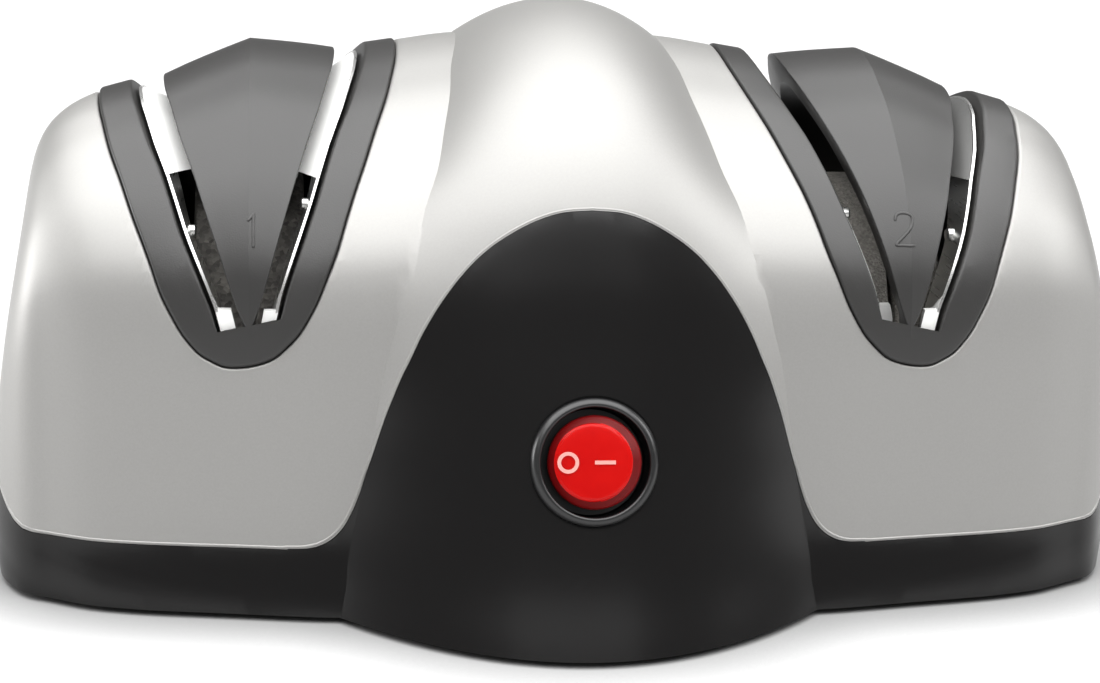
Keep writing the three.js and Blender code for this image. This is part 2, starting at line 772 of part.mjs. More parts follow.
// Guide inserts: the V frame, its flange behind the shell, and the wedge between the slots
function guideInsert() {
  const frame = ribbon(guideWidth, guideBottom, frameColumns, frameLevels, { round: true });
  const flange = ribbon(
    guideWidth,
    guideBottom,
    sideColumns,
    [wall / 2, wall + fit + flangeThickness],
    { grow: flangeWidth },
  ).intersect(outerBody(wall + fit));
  const wedge = ribbon(
    wedgeWidth,
    slotBottom - (slotBottom - guideBottom) / 3,
    [[-1, 0, 0], [0, 0, 1], [1, 0, 0]],
    [-guideProud, wedgeThickness],
    { crown: wedgeCrown },
  );
  const slots = ribbon(slotWidth, slotBottom, sideColumns, throughLevels);
  return frame.add(flange).subtract(slots).add(wedge);
}
const guideFine = guideInsert();

// Spring plates along the outer edge of each slot, with their lower tabs, their rivets and the
// leaning leaf over the wheel
function springPlate(side) {
  const low = slotBottom + plateClearance;
  const sheet = (thickness, levels, lean = 0, start = 0) => {
    const outside = [side, -side * (plateClearance + start), 0, -side * lean];
    const insideFace = [side, -side * (plateClearance + start + thickness), 0, -side * lean];
    const columns = side > 0 ? [insideFace, outside] : [outside, insideFace];
    return ribbon(slotWidth, low + start, columns, levels);
  };
  const sunk = plateThickness / 8;
  const tabs = sheet(
    plateThickness + tabWidth - sunk,
    [plateInset + sunk, plateInset + tabDepth],
    0,
    sunk,
  ).intersect(box(0, farX, -farY, farY, 0, low + tabHeight));
  const leaf = sheet(
    plateThickness - sunk * 2,
    [plateInset + plateThickness / 2, leafDepth],
    leafLean,
    sunk,
  ).intersect(box(0, farX, -farY, farY, rivetZ + rivetRadius + fit, farZ));
  const angle = angleAtHeight(rivetZ, true);
  const high = slotWidth(wingPoint(moduleX, angle, -guideProud).z);
  const deep = slotWidth(wingPoint(moduleX, angle, guideDepth).z);
  const wallX = high + (deep - high) * (rivetInset + guideProud) / (guideDepth + guideProud);
  const faceX = moduleX + side * (wallX - plateClearance - plateThickness);
  const spot = wingPoint(faceX, angle, rivetInset);
  const rivet = turned(
    [[0, -rivetHeight], [rivetRadius, -rivetHeight], [rivetRadius, plateThickness / 2],
      [0, plateThickness / 2]],
    smallSides / 2 + 2,
  ).rotate([0, side * 90, 0]).translate([faceX, spot.y, spot.z]);
  return sheet(plateThickness, [plateInset, plateDepth]).add(tabs).add(leaf).add(rivet);
}

// Drive: shaft, sleeves, wheels, washers and nuts on both sides of the motor. The wheels fill the
// room round the shaft, from the floor and from the wing surface at their outer faces.
function wheelRoom() {
  const steps = 60;
  let room = shaftHeight - floorTop;
  for (let i = 0; i < steps; i += 1) {
    const p = wingPoint(wheelOuter, (i / steps) * 2 * Math.PI, 0);
    if (p.z > floorTop) room = Math.min(room, Math.hypot(p.y, p.z - shaftHeight));
  }
  return room;
}
const wheelRadius = wheelRoom() - wheelClearance;
const wheelRecessRadius = wheelRadius * wheelRecessShare;
const washerRadius = wheelRadius * washerShare;
const washerEnd = wheelOuter - wheelRecess + fit + washerThickness;
const nutEnd = washerEnd + fit + nutThickness;
const shaftEnd = nutEnd + shaftOverhang;
const shaftHalf = [
  [washerEnd, shaftRadius], [washerEnd, shaftEndRadius], [shaftEnd, shaftEndRadius], [shaftEnd, 0],
];
const shaft = turnedX(
  [...shaftHalf.map(([x, r]) => [-x, r]).reverse(), ...shaftHalf],
  smallSides,
);
function wheel(x0, x1) {
  const out = Math.sign(x1 - x0);
  const bore = shaftRadius + fit;
  return turnedX([
    [x0, bore], [x0, wheelRadius], [x1 - out * wheelBevel, wheelRadius],
    [x1, wheelRadius - wheelBevel],
    [x1, wheelRecessRadius], [x1 - out * wheelRecess, wheelRecessRadius - wheelRecess],
    [x1 - out * wheelRecess, bore], [x0, bore],
  ], wheelSides);
}
const wheelOnOuter = wheel(moduleX + wheelGap / 2, wheelOuter);
const wheelOnInner = wheel(moduleX - wheelGap / 2, wheelInner);
const spacer = ringX(
  moduleX - wheelGap / 2 + fit,
  moduleX + wheelGap / 2 - fit,
  shaftRadius + fit,
  washerRadius,
  smallSides,
);
const sleeve = ringX(
  fanEnd + fit,
  wheelInner + wheelRecess - fit,
  shaftRadius + fit,
  sleeveRadius,
  smallSides,
);
const washer = ringX(
  washerEnd - washerThickness,
  washerEnd,
  shaftRadius + fit,
  washerRadius,
  smallSides,
);

// Motor pieces
function roundedRect(y0, y1, z0, z1, corner) {
  const list = [];
  const steps = 4;
  const corners = [[y1 - corner, z1 - corner, 0], [y0 + corner, z1 - corner, 1],
    [y0 + corner, z0 + corner, 2], [y1 - corner, z0 + corner, 3]];
  for (const [y, z, quarter] of corners) {
    for (let i = 0; i <= steps; i += 1) {
      const angle = (quarter + i / steps) * Math.PI / 2;
      list.push([y + corner * Math.cos(angle), z + corner * Math.sin(angle)]);
    }
  }
  return list;
}
function circle(y, z, radius, sides) {
  const list = [];
  for (let i = 0; i < sides; i += 1) {
    const angle = (i / sides) * 2 * Math.PI;
    list.push([y + radius * Math.cos(angle), z + radius * Math.sin(angle)]);
  }
  return list;
}
const nut = prismX(
  circle(0, shaftHeight, nutRadius, 6),
  washerEnd + fit,
  nutEnd,
  [circle(0, shaftHeight, shaftEndRadius + fit, smallSides)],
);
const windowHalf = statorWidth / 2 - armWidth;
const stator = prismX(
  roundedRect(-statorWidth / 2, statorWidth / 2, statorBottom, statorTop, statorCorner),
  -statorLength / 2,
  statorLength / 2,
  [
    circle(0, shaftHeight, boreRadius, roundSides),
    [[-windowHalf, legTop], [windowHalf, legTop], [windowHalf, windowTop], [-windowHalf, windowTop]],
  ],
);
const coilIn = statorLength / 2 + fit;
const coilWinding = windowTop - legTop - fit * 2;
const coilEnd = coilIn + coilWinding;
const coilY = windowHalf - fit;
const coilLow = statorBottom - fit;
const coilHigh = legTop + fit;
const coil = box(-coilEnd, coilEnd, -coilY, coilY, coilLow - coilWinding, coilHigh + coilWinding)
  .subtract(box(-coilIn, coilIn, -statorWidth, statorWidth, coilLow, coilHigh));
function rotorShape() {
  const outer = boreRadius - airGap;
  const list = [];
  for (let i = 0; i < rotorTeeth; i += 1) {
    for (const [share, radius] of [[0, outer], [0.7, outer], [0.78, outer - rotorToothDepth],
      [0.92, outer - rotorToothDepth]]) {
      const angle = ((i + share) / rotorTeeth) * 2 * Math.PI;
      list.push([radius * Math.cos(angle), shaftHeight + radius * Math.sin(angle)]);
    }
  }
  return list;
}
const rotor = prismX(
  rotorShape(),
  -statorLength / 2,
  statorLength / 2,
  [circle(0, shaftHeight, shaftRadius + fit, smallSides)],
);
const alongX = (y, z, radius, x0, x1, sides) => prismX(circle(y, z, radius, sides), x0, x1);
function bearingBracket() {
  const plate = box(
    bracketInner,
    bracketOuter,
    -bracketHalfWidth,
    bracketHalfWidth,
    shaftHeight - bracketHalfHeight,
    shaftHeight + bracketHalfHeight,
  );
  const housing = alongX(
    0,
    shaftHeight,
    bearingRadius + fit + bearingHousing,
    bracketInner,
    bearingEnd,
    bearingSides,
  );
  let made = plate.add(housing);
  for (const y of [-postY, postY]) {
    made = made.add(alongX(
      y,
      shaftHeight,
      postRadius,
      statorLength / 2 + fit,
      bracketOuter,
      smallSides,
    ));
  }
  return made.subtract(alongX(
    0,
    shaftHeight,
    bearingRadius + fit,
    bracketInner - overrun,
    bearingEnd + overrun,
    bearingSides,
  ));
}
const bracket = bearingBracket();
const bearing = ringX(bracketInner, bearingEnd, shaftRadius + fit, bearingRadius, bearingSides);
function coolingFan() {
  const x0 = bearingEnd + fit;
  const x1 = x0 + fanHubLength;
  const bore = shaftRadius + fit;
  let made = turnedX([
    [x0, bore], [x0, fanHubRadius], [x1 - fanDisc, fanHubRadius], [x1 - fanDisc, fanRadius],
    [x1, fanRadius], [x1, bore], [x0, bore],
  ], fanSides);
  const blades = fanSides / 2;
  for (let i = 0; i < blades; i += 1) {
    const blade = box(
      x1 - fanBladeWidth,
      x1 - fanDisc / 2,
      -fanBladeThickness / 2,
      fanBladeThickness / 2,
      fanHubRadius - fanBladeThickness,
      fanRadius - fanBladeThickness,
    ).rotate([((i + 0.5) / blades) * 360 + 180 / fanSides, 0, 0]).translate([0, 0, shaftHeight]);
    made = made.add(blade);
  }
  return made;
}
const fan = coolingFan();
const fanSleeve = ringX(
  bearingEnd + fit,
  fanEnd,
  shaftRadius + fit,
  sleeveRadius,
  smallSides,
);

// Switch: bezel and barrel in one, rocker in its off position, three terminals
const bezelLow = -seatDepth + fit;
const bezelTop = bezelLow + bezelThickness;
const wellFloor = bezelTop - wellDepth;
const switchBody = turned([
  [0, wellFloor], [0, -barrelDepth], [barrelRadius, -barrelDepth], [barrelRadius, bezelLow],
  [bezelRadius, bezelLow], [bezelRadius, bezelTop - bezelBevel], [bezelRadius - bezelBevel, bezelTop],
  [wellRadius, bezelTop], [wellRadius, wellFloor], [0, wellFloor],
], switchSides);
const rockerTop = bezelTop + rockerRise;
const rockerLow = rockerTop - rockerThickness;
const rockerPivot = bezelTop - rockerPivotDepth;
function rockerShape() {
  const disc = turned([
    [0, rockerLow], [rockerRadius - rockerEdge, rockerLow], [rockerRadius, rockerLow + rockerEdge],
    [rockerRadius, rockerTop - rockerEdge], [rockerRadius - rockerEdge, rockerTop], [0, rockerTop],
  ], roundSides);
  const top = rockerTop - rockerRidge * (1 + overrun / rockerRadius);
  const roof = prismY([
    [-rockerRadius - overrun, rockerLow - overrun], [rockerRadius + overrun, rockerLow - overrun],
    [rockerRadius + overrun, top], [0, rockerTop], [-rockerRadius - overrun, top],
  ], -farY, farY);
  return disc.intersect(roof);
}
const rocker = rockerShape().translate([0, 0, -rockerPivot]).rotate([0, -rockerTilt, 0])
  .translate([0, 0, rockerPivot]);
const terminal = (x) => box(
  x - terminalWidth / 2,
  x + terminalWidth / 2,
  -terminalThickness / 2,
  terminalThickness / 2,
  -barrelDepth - fit - terminalLength,
  -barrelDepth - fit,
);

// Rubber feet and the cord bush
const foot = ([x, y]) => turned([
  [0, 0], [footRadius - footPad / 2, 0], [footRadius, footPad / 2], [footRadius, footHeight],
  [0, footHeight],
], smallSides).translate([x, y, 0]);
const bushOut = inletSeatY + fit + inletFlangeThickness;
const bushIn = backWallY - wall - inletFlangeThickness;
const inlet = inletPlace(inletBushRadius, bushIn, bushOut)
  .add(inletPlace(inletFlangeRadius, bushOut - inletFlangeThickness, bushOut))
  .subtract(inletPlace(inletBoreRadius, bushIn - overrun, bushOut + overrun));

// Nodes
const group = new THREE.Group();
function add(name, made, color, roughness, metalness) {
  const mesh = made.getMesh();
  const geometry = new THREE.BufferGeometry();
  geometry.setAttribute('position', new THREE.BufferAttribute(mesh.vertProperties, 3));
  geometry.setIndex(new THREE.BufferAttribute(mesh.triVerts, 1));
  const material = new THREE.MeshStandardMaterial({ color, roughness, metalness });
  const node = new THREE.Mesh(geometry, material);
  node.name = name;
  group.add(node);
}

add('upper_housing', upperHousing, 0xb4b4b0, 0.35, 0.7);
add('base_housing', base, 0x1d1b1c, 0.45, 0);
add('guide_fine', guideFine, 0x5a5a58, 0.6, 0);
add('guide_coarse', mirrored(guideFine), 0x5a5a58, 0.6, 0);
for (const [name, side] of [['outer', 1], ['inner', -1]]) {
  const plate = springPlate(side);
  add(`spring_plate_fine_${name}`, plate, 0xd8d8d6, 0.2, 1);
  add(`spring_plate_coarse_${name}`, mirrored(plate), 0xd8d8d6, 0.2, 1);
}
add('drive_shaft', shaft, 0x9a9a98, 0.3, 1);
for (const [grade, color] of [['fine', 0xa8a49c], ['coarse', 0x6b6a66]]) {
  const placed = (made) => (grade === 'fine' ? made : mirrored(made));
  add(`wheel_${grade}_outer`, placed(wheelOnOuter), color, 0.9, 0);
  add(`wheel_${grade}_inner`, placed(wheelOnInner), color, 0.9, 0);
  add(`spacer_${grade}`, placed(spacer), 0x8f8f8d, 0.4, 1);
  add(`sleeve_${grade}`, placed(sleeve), 0x8f8f8d, 0.4, 1);
  add(`washer_${grade}`, placed(washer), 0x8f8f8d, 0.4, 1);
  add(`nut_${grade}`, placed(nut), 0x8f8f8d, 0.4, 1);
  add(`bearing_bracket_${grade}`, placed(bracket), 0x8a8d90, 0.5, 1);
  add(`bearing_${grade}`, placed(bearing), 0xa9843f, 0.5, 1);
}
add('motor_stator', stator, 0x55565a, 0.6, 0.8);
add('motor_coil', coil, 0x9c5a2b, 0.5, 0.4);
add('motor_rotor', rotor, 0x77787a, 0.5, 0.9);
add('cooling_fan', mirrored(fan), 0x2b2b2b, 0.6, 0);
add('fan_sleeve', fanSleeve, 0x8f8f8d, 0.4, 1);
add('switch_body', onNose(switchBody), 0x3a3a3c, 0.4, 0);
add('switch_rocker', onNose(rocker), 0xd8131a, 0.25, 0);
for (const [i, x] of [-terminalSpacing, 0, terminalSpacing].entries()) {
  add(`switch_terminal_${i + 1}`, onNose(terminal(x)), 0xb8a060, 0.4, 1);
}
for (const [side, turn] of [['right', (made) => made], ['left', mirrored]]) {
  add(`foot_front_${side}`, turn(foot(feetPlaces[0])), 0x222222, 0.9, 0);
  add(`foot_back_${side}`, turn(foot(feetPlaces[1])), 0x222222, 0.9, 0);
}
add('cord_inlet', inlet, 0x161616, 0.7, 0);

// Origin in the middle of the outline, on the floor
const outline = new THREE.Box3().setFromObject(group);
group.position.y = -(outline.min.y + outline.max.y) / 2;

export default group;
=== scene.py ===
"""Electric knife sharpener: fine outer surfaces, steel, abrasive and switch over the frame."""
import bisect
import math

import bmesh
import bpy
from bpy.props import FloatProperty, IntProperty, PointerProperty, StringProperty
from mathutils import Matrix, Vector
from mathutils.bvhtree import BVHTree


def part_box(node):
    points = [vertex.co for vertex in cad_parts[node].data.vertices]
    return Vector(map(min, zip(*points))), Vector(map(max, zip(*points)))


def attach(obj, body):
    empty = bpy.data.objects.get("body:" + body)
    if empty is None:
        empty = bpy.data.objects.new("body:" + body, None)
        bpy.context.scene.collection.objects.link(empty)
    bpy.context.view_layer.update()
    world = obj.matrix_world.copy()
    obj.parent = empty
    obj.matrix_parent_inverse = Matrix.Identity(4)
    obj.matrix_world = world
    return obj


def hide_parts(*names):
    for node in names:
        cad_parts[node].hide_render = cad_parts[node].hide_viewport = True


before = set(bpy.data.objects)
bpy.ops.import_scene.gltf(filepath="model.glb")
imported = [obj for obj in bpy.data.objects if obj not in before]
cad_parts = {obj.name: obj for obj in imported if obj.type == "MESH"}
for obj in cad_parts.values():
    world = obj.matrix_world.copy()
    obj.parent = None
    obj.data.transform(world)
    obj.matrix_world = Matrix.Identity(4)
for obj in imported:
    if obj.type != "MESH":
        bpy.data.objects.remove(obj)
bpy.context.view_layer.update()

bl_info = {
    "name": "Electric knife sharpener",
    "version": (1, 0, 0),
    "blender": (4, 5, 0),
    "location": "View3D > Sidebar > Sharpener",
    "description": "Dresses a worktop knife sharpener with two grinding modules",
    "category": "Object",
}

MM = 0.001
SHAFT_LOW, SHAFT_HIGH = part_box("drive_shaft")
SHAFT_Y = (SHAFT_LOW.y + SHAFT_HIGH.y) / 2
SHAFT_Z = (SHAFT_LOW.z + SHAFT_HIGH.z) / 2
# The sections of the wings and the dome are drawn round a line a little behind the shaft
SECTION_SHIFT = 4 * MM
SECTION_Y = SHAFT_Y + SECTION_SHIFT
SECTION_Z = 22 * MM
# Walls of the cutting blocks, outside the object, and how far a cutter runs past what it cuts
FAR_X, FAR_Y, FAR_LOW, FAR_HIGH = 0.13, 0.09, -0.06, 0.12
SPARE = 0.01
# Pieces that are joined overlap by this much, so that no two of their faces share a plane
OVERLAP = 0.1 * MM
# Points of the dense lines: side profile, turn over the module and V outlines
PROFILE_STEPS, TURN_STEPS, OUTLINE_STEPS = 400, 500, 900
# Sections of a V outline from its bottom up, and of its skin and of a strip over the crest
VEE_STEPS, VEE_CREST, STRIP_CREST = 46, 12, 8
# Angles of the module section, as shares of half a turn: crest, and its front and back part
CREST = 0.42
FRONT_TURN, BACK_TURN = (0.43, 1.15), (0.41, -0.1)

# Side profile of a wing as shares of its front or back reach and of its height
WING_PROFILE = [
    (-1.05, -0.3), (-1.0, 0), (-0.917, 0.136), (-0.872, 0.313), (-0.828, 0.522), (-0.795, 0.606),
    (-0.747, 0.679), (-0.662, 0.747), (-0.54, 0.815), (-0.384, 0.8725), (-0.192, 0.928),
    (0, 0.9655), (0.1, 0.984), (0.2, 0.996), (0.3, 1), (0.42, 0.99), (0.55, 0.962), (0.68, 0.915),
    (0.8, 0.84), (0.89, 0.73), (0.945, 0.6), (0.975, 0.45), (0.985, 0.3), (1.0, 0.136), (1.02, 0),
    (1.04, -0.3),
]
# Height, front depth, back depth and middle of the section over the half length
HEIGHTS = [(0, 1.004), (0.19, 1.0), (0.3, 0.984), (0.42, 0.966), (0.56, 0.946), (0.7, 0.93),
           (0.8, 0.921), (1, 0.897)]
FRONTS = [(0, 1.0), (0.19, 1.0), (0.41, 0.946), (0.56, 0.835), (0.81, 0.665), (0.89, 0.59),
          (0.935, 0.555), (0.963, 0.5), (1, 0.4)]
BACKS = [(0, 1.0), (0.19, 1.0), (0.4, 0.97), (0.56, 0.92), (0.8, 0.76), (0.93, 0.6), (1, 0.42)]
MIDDLES = [(0, 1), (0.19, 1), (0.41, 0.25), (0.56, -0.75), (0.8, -2), (1, -2.5)]
END_LEANS = [(-0.3, 0.955), (0, 0.985), (0.08, 0.996), (0.15, 1), (0.27, 0.991), (0.37, 0.98),
             (0.47, 0.968), (0.555, 0.957), (0.64, 0.947), (0.72, 0.941), (0.8, 0.94), (1, 0.945)]
# Power of the rounding of both ends, where more is squarer
END_ROUNDNESS = 10
# Where the closed ends start, as a share of the half length, and what their rows shrink to
END_START = 0.92
END_SHRINKS = (0.985, 0.965, 0.94, 0.91, 0.875, 0.83, 0.77, 0.7, 0.62, 0.53, 0.44, 0.34, 0.24,
               0.13, 0.0)
# Dome and nose: half width, crease y and z, and apex y and z, as shares
DOME = [
    (1.03, -1.035, -0.09, -1.05, -0.08), (1.0, -1.004, 0, -1.0, 0),
    (0.966, -0.917, 0.136, -0.907, 0.123), (0.899, -0.87, 0.308, -0.814, 0.294),
    (0.808, -0.835, 0.508, -0.719, 0.484), (0.74, -0.764, 0.645, -0.655, 0.617),
    (0.685, -0.633, 0.748, -0.581, 0.735), (0.64, -0.474, 0.812, -0.46, 0.844),
    (0.586, -0.234, 0.887, -0.258, 0.939), (0.521, 0.093, 0.965, 0.032, 0.998),
    (0.477, 0.416, 0.986, 0.37, 0.987), (0.49, 0.667, 0.912, 0.66, 0.9),
    (0.56, 0.851, 0.776, 0.855, 0.757), (0.65, 0.93, 0.636, 0.944, 0.567),
    (0.72, 0.965, 0.41, 0.976, 0.36), (0.76, 0.982, 0.144, 0.992, 0.123),
    (0.78, 1.0, 0, 1.008, 0), (0.79, 1.0, -0.09, 1.016, -0.08),
]
# Arch of the nose as shares of its half width and peak
ARCH = [
    (0, 1), (0.11, 0.994), (0.21, 0.973), (0.31, 0.938), (0.395, 0.898), (0.475, 0.846),
    (0.545, 0.787), (0.592, 0.739), (0.632, 0.691), (0.665, 0.644), (0.7, 0.596), (0.728, 0.55),
    (0.755, 0.503), (0.78, 0.453), (0.805, 0.401), (0.83, 0.352), (0.853, 0.305), (0.88, 0.262),
    (0.914, 0.223), (0.955, 0.196), (1, 0.18), (1.05, 0.1725), (1.12, 0.1705),
]
# V outlines over the height of the module section
GUIDE_OUTLINE = [
    (0, 0), (0.013, 0.152), (0.045, 0.234), (0.083, 0.309), (0.126, 0.362), (0.192, 0.429),
    (0.267, 0.486), (0.363, 0.553), (0.471, 0.613), (0.569, 0.674), (0.67, 0.745), (0.776, 0.823),
    (0.861, 0.894), (0.938, 0.954), (1, 1), (1.2, 1.09),
]
SLOT_OUTLINE = [
    (0, 0.25), (0.137, 0.323), (0.26, 0.405), (0.373, 0.486), (0.494, 0.573), (0.624, 0.655),
    (0.747, 0.75), (0.837, 0.841), (0.937, 0.936), (1, 1), (1.3, 1.25),
]
WEDGE_OUTLINE = [
    (0, 0.037), (0.093, 0.13), (0.203, 0.217), (0.336, 0.317), (0.471, 0.429), (0.604, 0.547),
    (0.712, 0.652), (0.825, 0.783), (0.957, 0.938), (1, 1), (1.3, 1.3),
]
# Lines of the raised numbers, over a height of one
NUMBER_ONE = [(-0.16, 0.8), (-0.02, 0.93), (0.04, 1), (0.04, 0.75), (0.04, 0.5), (0.04, 0.25),
              (0.04, 0)]
NUMBER_TWO = [(-0.3, 0.74), (-0.24, 0.92), (0, 1), (0.26, 0.92), (0.3, 0.72), (0.17, 0.5),
              (-0.08, 0.25), (-0.31, 0.02), (-0.3, 0), (-0.1, 0), (0.12, 0), (0.34, 0)]
# Places across a guide, so that its skin and its cutters follow the round top
ACROSS = (-0.83, -0.66, -0.5, -0.33, -0.16, 0, 0.16, 0.33, 0.5, 0.66, 0.83)
RIDGE_ACROSS = (-0.75, -0.5, -0.25, 0, 0.25, 0.5, 0.75)
# Heights of the sections of a spring plate as shares, closer at the bottom, where the outline
# turns. From the last one on, the sections go over the crest, as those of a V outline do.
RISE = [0, 0.004, 0.013, 0.028, 0.05, 0.08, 0.115, 0.155, 0.2, 0.25, 0.31, 0.37, 0.44, 0.51, 0.58,
        0.65, 0.72, 0.79, 0.85, 0.9, 0.94, 0.97]
# Rounded edges as shares of the rounding, sideways and in depth: grey guides and silver rim
GUIDE_EDGE = [(0, 1), (-0.08, 0.6), (-0.29, 0.29), (-0.6, 0.08), (-1, 0)]
RIM_EDGE = [(0, 1), (0.06, 0.66), (0.2, 0.4), (0.4, 0.2), (0.66, 0.06)]
# How deep the cutters of pockets and slots reach, and how far they flare over the surface
CUT_DEPTH, FLARE = 16 * MM, 0.6 * MM
# Ring and rocker of the switch in mm: radius, and height over the top of the ring or the button
RING_PROFILE = [
    (0, -6.6), (9.5, -6.6), (9.8, -6.3), (9.8, -0.5), (9.86, -0.25), (10.05, -0.06), (10.3, 0),
    (10.6, -0.06), (10.9, -0.22), (11.18, -0.48), (11.4, -0.82), (11.54, -1.2), (11.6, -1.6),
    (11.6, -2), (10.05, -2), (10.05, -16.2), (0, -16.2),
]
ROCKER_PROFILE = [
    (0, -5), (7.7, -5), (8.4, -4.3), (8.4, -2), (8.3, -1.7), (8.05, -1.45), (7.1, -0.8),
    (6.95, -0.62), (6.8, -0.45), (6.55, -0.33), (6.2, -0.28), (4.2, -0.24), (2.1, -0.22),
    (0, -0.2),
]
# Camera: focal length and picture width in pixels, sensor in mm, place in mm with its depth
# counted from the shaft, and yaw, pitch and roll in degrees
FOCAL_LENGTH, PICTURE_WIDTH, SENSOR_WIDTH = 2201.9, 1100, 36
CAMERA_PLACE = (-57.716, -422.627, 168.395)
CAMERA_TURN = (7.65, 17.01, 2.16)
# Lamps: name, place, width, height, watts and the point that they face
LAMPS = [
    ("softbox", (-0.08, -0.25, 1.15), 2.1, 2.1, 57.0, (-0.08, -0.25, 0.05)),
    ("strip", (0.0, -1.5, 0.95), 1.6, 0.3, 0.9, (0.0, 0.0, 0.07)),
    ("right", (0.95, -0.15, 0.6), 0.5, 0.5, 4.6, (0.03, 0, 0.05)),
    ("left", (-0.9, 0.1, 0.22), 0.4, 0.3, 4.0, (-0.1, 0, 0.04)),
    ("left top", (-0.55, 0.0, 0.5), 0.4, 0.4, 0.5, (-0.03, 0.0, 0.08)),
]


def length(name, value, text):
    """A length property in metres, from a value in mm."""
    return FloatProperty(
        name=name, description=text, default=value * MM, min=0.0, unit="LENGTH",
        subtype="DISTANCE", precision=4,
    )


class SharpenerSizes(bpy.types.PropertyGroup):
    """Sizes of the visual pieces."""

    body_length: length("Body length", 219.2, "Length over both ends")
    wing_front: length("Wing front", 52.1, "Reach of the wings to the front")
    wing_back: length("Wing back", 57, "Reach of the wings to the back")
    wing_height: length("Wing height", 97.5, "Height of the wings")
    dome_height: length("Dome height", 105.4, "Height of the dome")
    dome_back: length("Dome back", 62, "Reach of the dome to the back")
    nose_reach: length("Nose reach", 73.5, "Reach of the nose to the front")
    nose_half_width: length("Nose half width", 44.7, "Half width of the nose on the floor")
    wall: length("Wall", 2.4, "Wall of the mouldings")
    seam: length("Seam", 0.12, "Gap between the mouldings")
    band_height: length("Band height", 12.8, "Top of the black band")
    foot_lift: length("Foot lift", 1.2, "Height of the base over the worktop")
    floor: length("Floor", 2.4, "Floor of the base")
    arch_peak: length("Arch peak", 75.8, "Top of the black arch")
    arch_half_width: length("Arch half width", 48.2, "Half width of the black arch")
    end_arch_peak: length("End arch peak", 40.8, "Top of the black arch on each end")
    end_arch_half_width: length("End arch half width", 32, "Half width of an end arch")
    end_arch_shift: length("End arch shift", 6, "How far the end arches lie before the shaft")
    end_arch_inner: length("End arch start", 95, "Where the end arches start")
    module_spacing: length("Module spacing", 122, "Distance between the modules")
    guide_bottom: length("Guide bottom", 46.6, "Bottom of the V frame")
    guide_half_width: length("Guide half width", 28.2, "Half width of the V frame at the top")
    slot_bottom: length("Slot bottom", 53.6, "Bottom of the slots")
    slot_half_width: length("Slot half width", 22, "Half width over the slots at the top")
    wedge_half_width: length("Wedge half width", 16.1, "Half width of the wedge at the top")
    wedge_crown: length("Wedge crown", 4, "Rise of the ridge of the wedge")
    wedge_thickness: length("Wedge thickness", 4.6, "Depth of the wedge")
    guide_depth: length("Guide depth", 6, "Depth of the V frame")
    guide_proud: length("Guide proud", 0.4, "How far the V frame stands out of the shell")
    guide_gap: length("Guide gap", 0.05, "Gap round the V frame")
    edge: length("Edge", 0.45, "Rounding of moulded edges")
    edge_bead: length("Edge bead", 0.32, "Rounding of the lower edge of the silver shell")
    rim: length("Rim", 0.8, "Rounding of the silver edge round the V frame")
    number_height: length("Number height", 5.4, "Height of the raised numbers")
    number_stroke: length("Number stroke", 0.6, "Width of the strokes of the numbers")
    number_centre: length("Number centre", 70, "Height of the numbers over the worktop")
    plate_gap: length("Plate gap", 0.7, "Gap between a spring plate and the frame")
    inner_gap: length("Inner gap", 0.85, "Gap between an inner spring plate and the frame")
    plate_thickness: length("Plate thickness", 0.5, "Thickness of a spring plate")
    plate_inset: length("Plate inset", 1.0, "Depth of a spring plate below the surface")
    inner_inset: length("Inner inset", 5.7, "Depth of the inner plate of the fine module")
    leaf_inset: length("Leaf inset", 1.2, "Depth of the upper edge of a leaf")
    plate_depth: length("Plate depth", 8, "Lower edge of a spring plate")
    tab_width: length("Tab width", 2.2, "Width of the tab at the bottom of a plate")
    tab_depth: length("Tab depth", 1.6, "Depth of the tab at the bottom of a plate")
    tab_height: length("Tab height", 1.9, "Height of the tab at the bottom of a plate")
    leaf_lean: length("Leaf lean", 4, "How far the leaf of a plate leans into the slot")
    fine_lean: length("Fine lean", 3, "Lean of the outer leaf of the fine module")
    inner_lean: length("Inner lean", 0.3, "Lean of the inner leaf of the fine module")
    inner_leaf_drop: length("Inner leaf drop", 0.4, "Inner fine leaf below its plate's edge")
    leaf_depth: length("Leaf depth", 4.4, "Lower edge of the leaf of a plate")
    leaf_bottom: length("Leaf bottom", 77.5, "Where the leaf of a plate starts")
    rivet_height: length("Rivet height", 76, "Height of the rivets over the worktop")
    rivet_depth: length("Rivet depth", 5.8, "Depth of the rivets below the surface")
    rivet_inset: length("Rivet inset", 1.2, "Least depth of a rivet below its plate's edge")
    rivet_radius: length("Rivet radius", 1.2, "Radius of a rivet head")
    wheel_radius: length("Wheel radius", 31.3, "Radius of the grinding wheels")
    wheel_bore: length("Wheel bore", 4.3, "Radius of the hole of a wheel")
    wheel_hollow: length("Wheel hollow", 17, "Radius of the recess of a wheel")
    wheel_recess: length("Wheel recess", 2.6, "Depth of the recess of a wheel")
    switch_height: length("Switch height", 33.6, "Height of the middle of the switch")
    switch_hole: length("Switch hole", 10.1, "Radius of the hole for the switch")
    inlet_neck: length("Inlet neck", 4, "Radius of the bush of the cord inlet")
    inlet_collar: length("Inlet collar", 5, "Radius of the collar of the bush")
    inlet_bore: length("Inlet bore", 2.7, "Radius of the hole of the bush")
    inlet_step: length("Inlet step", 1.6, "Thickness of the collar of the bush")
    clearance: length("Clearance", 0.3, "Gap round the feet, the inlet and the ring")
    bezel_radius: length("Bezel radius", 11.6, "Radius of the ring of the switch")
    rocker_radius: length("Rocker radius", 8.4, "Radius of the rocker")
    stations: IntProperty(name="Stations", description="Sections over the length", default=120)
    ring: IntProperty(name="Ring", description="Points round a section", default=130)


